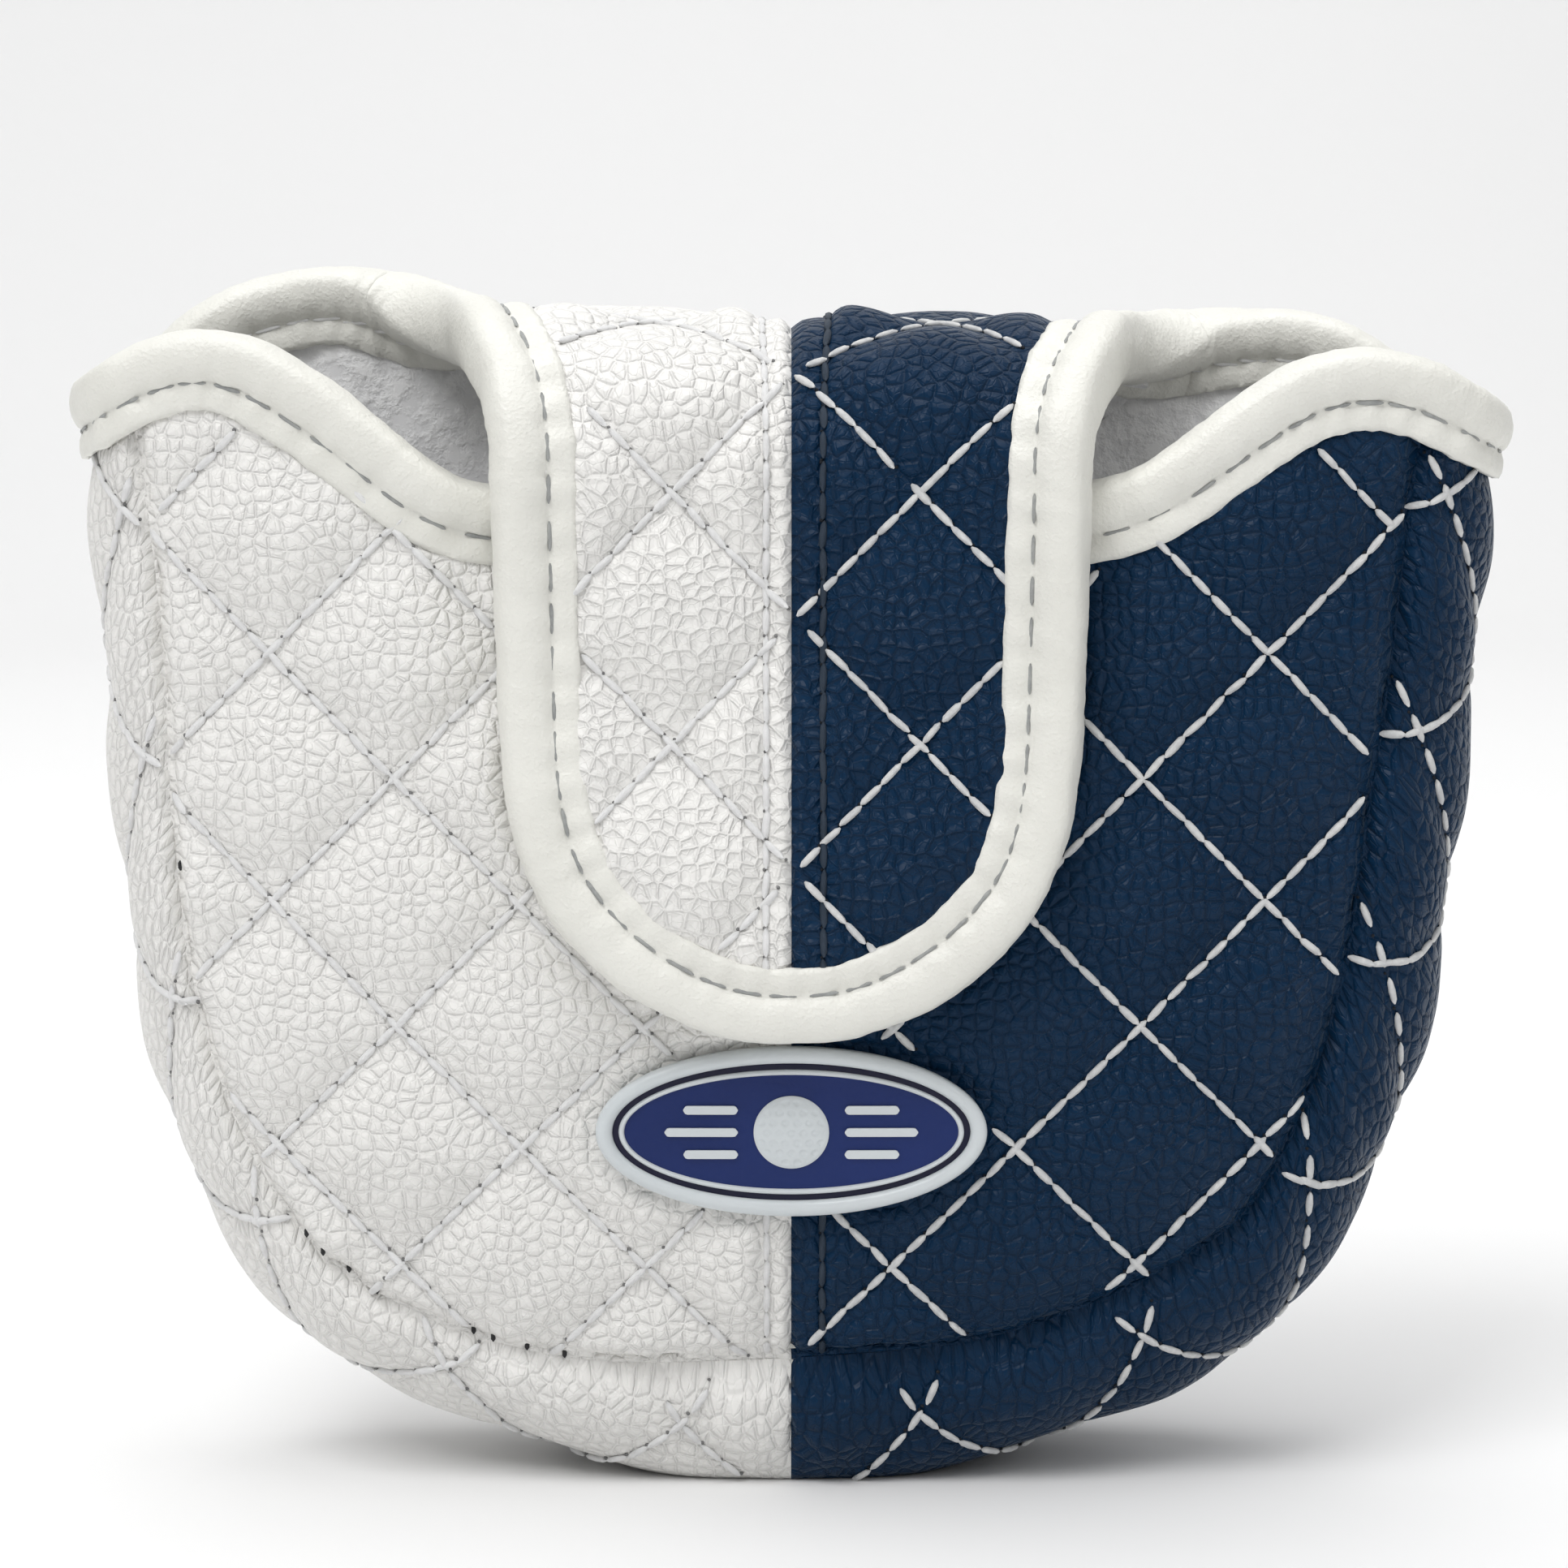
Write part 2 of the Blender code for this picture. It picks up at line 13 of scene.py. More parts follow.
import bpy
import numpy as np
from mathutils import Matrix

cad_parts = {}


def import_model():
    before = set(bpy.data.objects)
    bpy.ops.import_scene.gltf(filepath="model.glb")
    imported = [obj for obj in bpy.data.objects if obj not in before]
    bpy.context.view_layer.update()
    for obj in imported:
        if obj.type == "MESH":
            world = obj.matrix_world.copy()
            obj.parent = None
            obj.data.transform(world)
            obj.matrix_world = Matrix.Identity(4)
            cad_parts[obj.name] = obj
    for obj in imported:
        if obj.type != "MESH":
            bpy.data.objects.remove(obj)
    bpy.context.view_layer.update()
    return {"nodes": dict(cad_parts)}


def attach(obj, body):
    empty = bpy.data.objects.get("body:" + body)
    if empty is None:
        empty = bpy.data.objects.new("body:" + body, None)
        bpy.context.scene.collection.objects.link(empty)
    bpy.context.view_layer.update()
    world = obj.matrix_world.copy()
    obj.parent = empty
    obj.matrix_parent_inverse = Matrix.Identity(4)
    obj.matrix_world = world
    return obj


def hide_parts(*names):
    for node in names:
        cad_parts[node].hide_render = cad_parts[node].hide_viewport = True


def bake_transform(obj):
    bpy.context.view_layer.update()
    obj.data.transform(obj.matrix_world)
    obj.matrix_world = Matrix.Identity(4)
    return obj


log = logging.getLogger("head_cover")

MM = 0.001
UV_PER_MM = 0.01            # panel UV units for each millimetre
HALVES = (-1, 1)            # left and right, as signs of x
BADGE_HALF = (18.7, 8.4)    # half width and half height of the badge, mm
BADGE_Z = 36.9              # height of the badge's centre, mm
HIDDEN_MARGIN = 4.8         # leather that lies under a binding, mm
STITCH_MARGIN = 4.9         # nearest a quilting stitch comes to a bound edge, mm
SEAM_MARGIN = 0.55          # nearest a quilting stitch comes to a seam, mm
LEFT_ROW, RIGHT_ROW = -2.4, 3.0  # the topstitching rows beside the middle seam, mm

Array = np.ndarray
Colour = tuple[float, float, float, float]


class Side(Enum):
    """Left or right half of the cover, seen from the front."""

    LEFT = -1
    RIGHT = 1


# ---------------------------------------------------------------- plane curves
def smooth_curve(points: Array, per_span: int = 24) -> Array:
    """Dense Catmull-Rom curve: each span is the cubic through two points whose slopes
    are half the step between their neighbours.

    Args:
        points: control points, one a row.
        per_span: samples in each span.

    Returns:
        The dense curve, one point a row.
    """
    pts = np.asarray(points, float)
    pts = np.vstack([2 * pts[0] - pts[1], pts, 2 * pts[-1] - pts[-2]])
    a, b, c, d = (pts[k:len(pts) - 3 + k, None, :] for k in range(4))
    t = np.linspace(0, 1, per_span, endpoint=False)[None, :, None]
    curve = 0.5 * (2 * b + (c - a) * t + (2 * a - 5 * b + 4 * c - d) * t ** 2
                   + (3 * b - a - 3 * c + d) * t ** 3)
    return np.vstack([curve.reshape(-1, pts.shape[1]), pts[-2][None]])


def lengths(curve: Array) -> Array:
    """Length along a curve up to each of its points."""
    return np.concatenate([[0.0], np.cumsum(np.linalg.norm(np.diff(curve, axis=0), axis=1))])


def evenly(curve: Array, count: int) -> Array:
    """count + 1 points at equal lengths along a dense curve."""
    along = lengths(curve)
    want = np.linspace(0, along[-1], count + 1)
    return np.stack([np.interp(want, along, curve[:, k]) for k in range(curve.shape[1])], axis=1)


def smoothstep(a: Array) -> Array:
    """0 below 0, 1 above 1, and the cubic 3a^2 - 2a^3 between."""
    a = np.clip(a, 0, 1)
    return a * a * (3 - 2 * a)


def unit(v: Array) -> Array:
    """Vectors brought to length 1 along the last axis."""
    return v / np.maximum(np.linalg.norm(v, axis=-1, keepdims=True), 1e-9)


def drift(u: Array, v: Array, seed: int, size: float) -> Array:
    """Soft irregular field: a sum of nine sine waves with seeded directions and phases.

    Args:
        u, v: surface coordinates in millimetres.
        seed: picks the waves.
        size: rough distance between bumps in millimetres.

    Returns:
        Values of about -1 to 1.
    """
    rng = np.random.default_rng(seed)
    total = np.zeros(np.broadcast(u, v).shape)
    for _ in range(9):
        angle, phase = rng.uniform(0, 2 * math.pi, 2)
        wave = 2 * math.pi / (size * rng.uniform(0.7, 1.6))
        total += np.sin(wave * (u * math.cos(angle) + v * math.sin(angle)) + phase)
    return total / 4.0


def blurred(values: Array, width: float, closed: bool = False) -> Array:
    """Rows averaged with a bell-shaped window of the given width in samples."""
    reach = int(3 * width)
    window = np.exp(-0.5 * (np.arange(-reach, reach + 1) / width) ** 2)
    window /= window.sum()
    padded = np.pad(values, ((reach, reach), (0, 0)), mode="wrap" if closed else "edge")
    columns = [np.convolve(padded[:, k], window, "valid") for k in range(values.shape[1])]
    return np.stack(columns, 1)


def badge_share(x: Array, z: Array) -> Array:
    """Distance from the badge's centre as a share of its oval: 1 on the rim."""
    return np.hypot(x / BADGE_HALF[0], (z - BADGE_Z) / BADGE_HALF[1])


# ---------------------------------------------------------------- meshes
def make_mesh(name: str, points: Array, quads: Array, uv: Array | None = None) -> bpy.types.Object:
    """A mesh object at the origin from millimetre points and quads of vertex numbers."""
    mesh = bpy.data.meshes.new(name)
    mesh.vertices.add(len(points))
    mesh.vertices.foreach_set("co", (points * MM).astype(np.float32).ravel())
    loops = quads.ravel().astype(np.int32)
    mesh.loops.add(len(loops))
    mesh.loops.foreach_set("vertex_index", loops)
    mesh.polygons.add(len(quads))
    mesh.polygons.foreach_set("loop_start", np.arange(0, len(loops), 4, dtype=np.int32))
    mesh.update(calc_edges=True)
    if uv is not None:
        layer = mesh.uv_layers.new(name="panel")
        layer.data.foreach_set("uv", (uv[loops] * UV_PER_MM).astype(np.float32).ravel())
    mesh.shade_smooth()
    mesh.validate()
    obj = bpy.data.objects.new(name, mesh)
    bpy.context.scene.collection.objects.link(obj)
    return obj


def grid_quads(rows: int, columns: int, wrap: bool = False, loop: bool = False) -> Array:
    """Quads of a rows x columns grid of vertices; wrap joins the last column to the first,
    and loop the last row to the first."""
    i = np.arange(rows if loop else rows - 1)[:, None]
    j = np.arange(columns if wrap else columns - 1)[None]
    n, k = (i + 1) % rows, (j + 1) % columns
    quads = np.stack([i * columns + j, n * columns + j, n * columns + k, i * columns + k],
                     axis=-1)
    return quads.reshape(-1, 4)


def tube_quads(rings: int, around: int) -> Array:
    """Quads of a tube of rings; each end is closed by strips across the section."""
    quads = grid_quads(rings, around, wrap=True)
    i = np.arange(around // 2 - 1)
    cap = np.stack([i, i + 1, around - 2 - i, around - 1 - i], axis=1)
    last = cap[:, ::-1] + (rings - 1) * around
    return np.concatenate([quads, last, cap])


def outward(points: Array, quads: Array) -> Array:
    """Quads turned so that the closed body they make has a positive volume."""
    a, b, c, d = (points[quads[:, k]] for k in range(4))
    volume = np.einsum("ij,ij->", a, np.cross(b, c) + np.cross(c, d))
    return quads if volume > 0 else quads[:, ::-1]


def shell(name: str, outer: Array, inner: Array, uv: Array) -> bpy.types.Object:
    """A closed body between two grids, with walls round the rim."""
    rows, columns = outer.shape[:2]
    count = rows * columns
    face = grid_quads(rows, columns)
    number = np.arange(count).reshape(rows, columns)
    rim = np.concatenate([number[0, :-1], number[:-1, -1], number[-1, :0:-1], number[:0:-1, 0]])
    after = np.roll(rim, -1)
    wall = np.stack([rim, after, after + count, rim + count], axis=1)
    points = np.concatenate([outer.reshape(-1, 3), inner.reshape(-1, 3)])
    quads = np.concatenate([face, face[:, ::-1] + count, wall[:, ::-1]])
    both = np.concatenate([uv.reshape(-1, 2), uv.reshape(-1, 2)])
    quads = outward(points, quads)
    obj = make_mesh(name, points, quads, both)
    obj.data.set_sharp_from_angle(angle=math.radians(70))
    return obj


def scatter(name: str, template: tuple[Array, Array], places: Array, frames: Array,
            sizes: Array) -> bpy.types.Object:
    """One mesh holding a copy of a small template at each place.

    Args:
        name: object name.
        template: points and quads of the small shape.
        places: (n, 3) positions.
        frames: (n, 3, 3) with the axes of each copy as rows.
        sizes: (n, 3) scale along those axes.
    """
    points, quads = template
    spread = points[None] * sizes[:, None, :]
    placed = np.einsum("nvk,nkc->nvc", spread, frames) + places[:, None, :]
    steps = np.arange(len(places))[:, None, None] * len(points)
    every = (quads[None] + steps).reshape(-1, 4)
    return make_mesh(name, placed.reshape(-1, 3), every)


def bead(around: int = 8, along: int = 6, twist: float = 0.0) -> tuple[Array, Array]:
    """A plump lozenge along the first axis: rings of a circle whose radius follows the
    square root of a sine, with small rings in place of poles."""
    u = np.linspace(0.03, 0.97, along)[:, None] * math.pi
    v = np.linspace(0, 2 * math.pi, around, endpoint=False)[None] + twist * u
    radius = np.sin(u) ** 0.6
    ring = np.stack([np.broadcast_to(-np.cos(u), (along, around)), radius * np.cos(v),
                     radius * np.sin(v)], axis=-1)
    points = np.concatenate([ring.reshape(-1, 3), [[-1, 0, 0], [1, 0, 0]]])
    quads = grid_quads(along, around, wrap=True)
    k = np.arange(0, around, 2)
    first = np.stack([k, (k + 1) % around, (k + 2) % around, np.full_like(k, along * around)], 1)
    last = first + (along - 1) * around
    last[:, 3] = along * around + 1
    last[:, :3] = (along - 1) * around + first[:, :3]
    quads = np.concatenate([quads, first[:, ::-1], last])
    return points * 0.5, outward(points, quads)


# ---------------------------------------------------------------- materials
class Desk:
    """Adds and links nodes in one node tree."""

    def __init__(self, tree: bpy.types.NodeTree) -> None:
        """Takes the tree to work on."""
        self.tree = tree

    def add(self, kind: str, inputs: dict | None = None, **settings: object) -> bpy.types.Node:
        """One node; an input may be a value or another node's output."""
        node = self.tree.nodes.new(kind)
        for key, value in settings.items():
            setattr(node, key, value)
        for key, value in (inputs or {}).items():
            if isinstance(value, bpy.types.NodeSocket):
                self.tree.links.new(value, node.inputs[key])
            else:
                node.inputs[key].default_value = value
        return node

    def math(self, operation: str, *values: object) -> bpy.types.NodeSocket:
        """A Math node's result."""
        inputs = dict(enumerate(values))
        return self.add("ShaderNodeMath", inputs, operation=operation).outputs[0]

    def ramp(self, value: object, low: float, high: float, start: float = 0.0,
             end: float = 1.0) -> bpy.types.NodeSocket:
        """Values from low..high brought smoothly to start..end."""
        names = {"Value": value, "From Min": low, "From Max": high, "To Min": start, "To Max": end}
        return self.add("ShaderNodeMapRange", names, interpolation_type="SMOOTHSTEP").outputs[0]

    def mix(self, share: object, a: object, b: object) -> bpy.types.NodeSocket:
        """Two colours mixed."""
        node = self.add("ShaderNodeMix", data_type="RGBA")
        for key, value in (("Factor", share), ("A", a), ("B", b)):
            socket = next(s for s in node.inputs if s.name == key and s.enabled)
            if isinstance(value, bpy.types.NodeSocket):
                self.tree.links.new(value, socket)
            else:
                socket.default_value = value
        return next(s for s in node.outputs if s.enabled)


def new_group(name: str, inputs: list[tuple[str, str, float]],
              outputs: list[tuple[str, str]]) -> tuple[bpy.types.NodeTree, Desk, dict, object]:
    """A shader node group with named sockets.

    Args:
        name: group name.
        inputs: (name, kind, value) for each input.
        outputs: (name, kind) for each output.

    Returns:
        The group, a desk for it, its input sockets by name and its output node.
    """
    group = bpy.data.node_groups.new(name, "ShaderNodeTree")
    for label, kind, value in inputs:
        made = group.interface.new_socket(label, in_out="INPUT", socket_type=f"NodeSocket{kind}")
        if kind == "Float":
            made.default_value = value
    for label, kind in outputs:
        group.interface.new_socket(label, in_out="OUTPUT", socket_type=f"NodeSocket{kind}")
    desk = Desk(group)
    start = desk.add("NodeGroupInput")
    return group, desk, {s.name: s for s in start.outputs if s.name}, desk.add("NodeGroupOutput")


def grain_group() -> bpy.types.NodeTree:
    """Pebbled leather: rounded cells between fine creases, with finer cells inside; the second
    output masks the creases for painted shade.
    """
    group, desk, given, out = new_group(
        "PebbledGrain",
        [("Vector", "Vector", 0), ("Cells", "Float", 45.0), ("Fine", "Float", 0.22)],
        [("Height", "Float"), ("CreaseShade", "Float")])
    wobble = desk.add("ShaderNodeTexNoise",
                      {"Vector": given["Vector"], "Scale": 22.0, "Detail": 1.0},
                      noise_dimensions="2D")
    shifted = desk.add("ShaderNodeVectorMath", {0: wobble.outputs["Color"], 1: (0.5, 0.5, 0.5)},
                       operation="SUBTRACT")
    small = desk.add("ShaderNodeVectorMath", {0: shifted.outputs[0], "Scale": 0.012},
                     operation="SCALE")
    where = desk.add("ShaderNodeVectorMath", {0: given["Vector"], 1: small.outputs[0]},
                     operation="ADD").outputs[0]
    coarse = desk.add("ShaderNodeTexVoronoi", {"Vector": where, "Scale": given["Cells"],
                                               "Randomness": 0.8},
                      voronoi_dimensions="2D", feature="DISTANCE_TO_EDGE").outputs["Distance"]
    finer = desk.math("MULTIPLY", given["Cells"], 1.9)
    fine = desk.add("ShaderNodeTexVoronoi", {"Vector": where, "Scale": finer, "Randomness": 1.0},
                    voronoi_dimensions="2D", feature="DISTANCE_TO_EDGE").outputs["Distance"]
    patch = desk.add("ShaderNodeTexNoise",
                     {"Vector": given["Vector"], "Scale": 14.0, "Detail": 3.0},
                     noise_dimensions="2D").outputs[0]
    edge = desk.math("MULTIPLY", desk.ramp(coarse, 0.0, 0.17), 0.8)
    dome = desk.ramp(coarse, 0.0, 0.5)
    bumps = desk.math("MULTIPLY", desk.ramp(fine, 0.0, 0.14), given["Fine"])
    height = desk.math("ADD", desk.math("ADD", edge, dome), bumps)
    # Mask for painted shade: strongest at the cell edges, where the creases lie.
    near = desk.ramp(coarse, 0.0, 0.085, 1.0, 0.0)
    also = desk.math("MULTIPLY", desk.ramp(fine, 0.0, 0.08, 1.0, 0.0), 0.25)
    crease = desk.math("MULTIPLY", desk.math("MAXIMUM", near, also),
                       desk.ramp(patch, 0.25, 0.6, 0.45, 1.0))
    desk.tree.links.new(height, out.inputs["Height"])
    desk.tree.links.new(crease, out.inputs["CreaseShade"])
    return group


def mottle_group() -> bpy.types.NodeTree:
    """Handling marks: broad soft patches and small specks that change tone and gloss."""
    group, desk, given, out = new_group(
        "HandlingMottle", [("Vector", "Vector", 0), ("Scale", "Float", 20.0)],
        [("Patch", "Float"), ("Speck", "Float")])
    broad = desk.add("ShaderNodeTexNoise", {"Vector": given["Vector"], "Scale": given["Scale"],
                                            "Detail": 4.0, "Roughness": 0.6}).outputs[0]
    many = desk.math("MULTIPLY", given["Scale"], 40.0)
    speck = desk.add("ShaderNodeTexNoise", {"Vector": given["Vector"], "Scale": many,
                                            "Detail": 2.0}).outputs[0]
    desk.tree.links.new(desk.ramp(broad, 0.3, 0.7), out.inputs["Patch"])
    desk.tree.links.new(desk.ramp(speck, 0.35, 0.75), out.inputs["Speck"])
    return group


def start_material(name: str) -> tuple[bpy.types.Material, Desk, bpy.types.Node]:
    """An empty node material, its desk and its Principled shader."""
    made = bpy.data.materials.new(name)
    made.use_nodes = True
    made.node_tree.nodes.clear()
    desk = Desk(made.node_tree)
    shader = desk.add("ShaderNodeBsdfPrincipled")
    desk.add("ShaderNodeOutputMaterial", {"Surface": shader.outputs[0]})
    return made, desk, shader


@dataclass(frozen=True)
class Leather:
    """Pebbled artificial leather, with painted shade in the grain's creases."""

    name: str
    base: Colour
    shade: Colour
    # Painted shade colour for the grain's creases.
    crease: Colour
    roughness: float
    depth: float
    cells: float = 45.0
    # How strongly the painted crease shade shows.
    crease_shade_share: float = 0.5
    sheen: float = 0.0
    specular: float = 0.35

    def make(self, groups: dict[str, bpy.types.NodeTree]) -> bpy.types.Material:
        """Builds the material on the panel's own UV map."""
        made, desk, shader = start_material(self.name)
        uv = desk.add("ShaderNodeUVMap", uv_map="panel").outputs[0]
        grain = desk.add("ShaderNodeGroup", node_tree=groups["grain"])
        desk.tree.links.new(uv, grain.inputs["Vector"])
        grain.inputs["Cells"].default_value = self.cells
        mottle = desk.add("ShaderNodeGroup", node_tree=groups["mottle"])
        desk.tree.links.new(uv, mottle.inputs["Vector"])
        mottle.inputs["Scale"].default_value = 6.0
        ground = desk.mix(mottle.outputs["Patch"], self.base, self.shade)
        # Painted shade: the crease colour darkens the grain's creases.
        share = desk.math("MULTIPLY", grain.outputs["CreaseShade"], self.crease_shade_share)
        colour = desk.mix(share, ground, self.crease)
        desk.tree.links.new(colour, shader.inputs["Base Color"])
        gloss = desk.math("MULTIPLY_ADD", mottle.outputs["Speck"], 0.10, self.roughness - 0.05)
        desk.tree.links.new(gloss, shader.inputs["Roughness"])
        bump = desk.add("ShaderNodeBump", {"Height": grain.outputs["Height"], "Strength": 0.8,
                                           "Distance": self.depth})
        desk.tree.links.new(bump.outputs[0], shader.inputs["Normal"])
        shader.inputs["Specular IOR Level"].default_value = self.specular
        shader.inputs["Sheen Weight"].default_value = self.sheen
        shader.inputs["Sheen Roughness"].default_value = 0.3
        shader.inputs["Sheen Tint"].default_value = (0.65, 0.8, 1.0, 1)
        return made


@dataclass(frozen=True)
class SmoothFinish:
    """Plain finish with faint mottling and a fine skin: binding, thread, moulded badge, metal."""

    name: str
    base: Colour
    shade: Colour
    roughness: float
    scale: float
    depth: float
    metallic: float = 0.0
    sheen: float = 0.0
    coat: float = 0.0
    specular: float = 0.5

    def make(self, groups: dict[str, bpy.types.NodeTree]) -> bpy.types.Material:
        """Builds the material on Object coordinates."""
        made, desk, shader = start_material(self.name)
        where = desk.add("ShaderNodeTexCoord").outputs["Object"]
        mottle = desk.add("ShaderNodeGroup", node_tree=groups["mottle"])
        desk.tree.links.new(where, mottle.inputs["Vector"])
        mottle.inputs["Scale"].default_value = self.scale
        colour = desk.mix(mottle.outputs["Patch"], self.base, self.shade)
        desk.tree.links.new(colour, shader.inputs["Base Color"])
        gloss = desk.math("MULTIPLY_ADD", mottle.outputs["Speck"], 0.12, self.roughness - 0.06)
        desk.tree.links.new(gloss, shader.inputs["Roughness"])
        bump = desk.add("ShaderNodeBump", {"Height": mottle.outputs["Speck"], "Strength": 0.5,
                                           "Distance": self.depth})
        desk.tree.links.new(bump.outputs[0], shader.inputs["Normal"])
        shader.inputs["Metallic"].default_value = self.metallic
        shader.inputs["Sheen Weight"].default_value = self.sheen
        shader.inputs["Coat Weight"].default_value = self.coat
        shader.inputs["Specular IOR Level"].default_value = self.specular
        return made


@dataclass(frozen=True)
class Plush:
    """Short napped lining: clumped pile with a strong sheen, lighter where the pile stands high and
    darker, as painted shade, where it lies low.
    """

    name: str
    tip: Colour
    # Painted shade colour for the low spots of the pile.
    root: Colour

    def make(self, groups: dict[str, bpy.types.NodeTree]) -> bpy.types.Material:
        """Builds the material on Object coordinates."""
        made, desk, shader = start_material(self.name)
        where = desk.add("ShaderNodeTexCoord").outputs["Object"]
        clump = desk.add("ShaderNodeTexNoise", {"Vector": where, "Scale": 420.0, "Detail": 4.0,
                                                "Roughness": 0.65}).outputs[0]
        nap = desk.add("ShaderNodeTexNoise",
                       {"Vector": where, "Scale": 90.0, "Detail": 2.0}).outputs[0]
        pile = desk.math("ADD", desk.ramp(clump, 0.35, 0.65), desk.math("MULTIPLY", nap, 0.6))
        # Painted shade: darker where the pile, which also drives the bump, lies low.
        colour = desk.mix(desk.ramp(pile, 0.3, 1.3), self.root, self.tip)
        desk.tree.links.new(colour, shader.inputs["Base Color"])
        bump = desk.add("ShaderNodeBump", {"Height": pile, "Strength": 0.5, "Distance": 0.0003})
        desk.tree.links.new(bump.outputs[0], shader.inputs["Normal"])
        shader.inputs["Roughness"].default_value = 0.95
        shader.inputs["Sheen Weight"].default_value = 0.4
        shader.inputs["Sheen Roughness"].default_value = 0.5
        return made


class Finish(Enum):
    """Every finish on the cover."""

    # The third colour of each leather is painted shade for the grain's creases.
    WHITE = Leather("white_leather", (0.845, 0.835, 0.81, 1), (0.815, 0.805, 0.78, 1),
                    (0.70, 0.685, 0.655, 1), 0.46, 0.00022, cells=68.0, crease_shade_share=0.10)
    NAVY = Leather("navy_leather", (0.0025, 0.0205, 0.055, 1), (0.0032, 0.0235, 0.062, 1),
                   (0.0008, 0.0080, 0.024, 1), 0.38, 0.00028, cells=68.0, crease_shade_share=0.5,
                   sheen=0.10, specular=0.13)
    BINDING = SmoothFinish("cream_binding", (0.79, 0.785, 0.735, 1), (0.74, 0.735, 0.685, 1),
                           0.46, 60.0, 0.00008)
    # The plush's second colour is painted shade for the low spots of the pile.
    LINING = Plush("grey_plush", (0.93, 0.93, 0.935, 1), (0.80, 0.80, 0.81, 1))
    THREAD_WHITE = SmoothFinish("white_thread", (0.90, 0.90, 0.90, 1), (0.82, 0.82, 0.82, 1), 0.45,
                                900.0, 0.0001, sheen=0.2)
    THREAD_NAVY = SmoothFinish("navy_thread", (0.010, 0.024, 0.045, 1), (0.014, 0.03, 0.055, 1),
                               0.55, 900.0, 0.0001)
    THREAD_PALE = SmoothFinish("pale_thread", (0.80, 0.80, 0.79, 1), (0.62, 0.63, 0.64, 1), 0.5,
                               900.0, 0.0001, sheen=0.2)
    THREAD_GREY = SmoothFinish("grey_thread", (0.42, 0.43, 0.42, 1), (0.30, 0.31, 0.31, 1), 0.6,
                               900.0, 0.0001, sheen=0.2)
    THREAD_BLACK = SmoothFinish("black_thread", (0.015, 0.015, 0.018, 1), (0.03, 0.03, 0.03, 1),
                                0.7, 900.0, 0.0001)
    # Painted shade for the needle holes, on white and on navy leather.
    HOLE_SHADE_ON_WHITE = SmoothFinish("needle_hole_shade_on_white", (0.22, 0.22, 0.22, 1), (0.16, 0.16, 0.16, 1),
                              0.9, 400.0, 0.00005)
    HOLE_SHADE_ON_NAVY = SmoothFinish("needle_hole_shade_on_navy", (0.003, 0.006, 0.012, 1), (0.002, 0.004, 0.008, 1),
                             0.9, 400.0, 0.00005)
    BADGE_PALE = SmoothFinish("badge_white", (0.64, 0.68, 0.70, 1), (0.60, 0.64, 0.66, 1), 0.38,
                              50.0, 0.00003, coat=0.15)
    BADGE_BLUE = SmoothFinish("badge_blue", (0.010, 0.026, 0.135, 1), (0.008, 0.021, 0.11, 1),
                              0.36, 50.0, 0.00003, specular=0.2)
    BADGE_DARK = SmoothFinish("badge_navy", (0.009, 0.010, 0.030, 1), (0.012, 0.012, 0.035, 1),
                              0.4, 50.0, 0.00003, specular=0.2)
    FOAM = SmoothFinish("foam", (0.62, 0.62, 0.60, 1), (0.56, 0.56, 0.53, 1), 0.95, 120.0, 0.0003)
    STEEL = SmoothFinish("plated_steel", (0.62, 0.62, 0.63, 1), (0.56, 0.56, 0.57, 1), 0.3, 80.0,
                         0.00003, metallic=1.0)


class Wardrobe:
    """Makes each finish's material once and puts it on pieces."""

    def __init__(self) -> None:
        """Builds the shared node groups."""
        self.groups = {"grain": grain_group(), "mottle": mottle_group()}
        self.made: dict[Finish, bpy.types.Material] = {}

    def get(self, finish: Finish) -> bpy.types.Material:
        """The finish's material."""
        if finish not in self.made:
            self.made[finish] = finish.value.make(self.groups)
        return self.made[finish]

    def dress(self, obj: bpy.types.Object, finish: Finish) -> None:
        """Gives the whole piece one finish."""
        obj.data.materials.clear()
        obj.data.materials.append(self.get(finish))


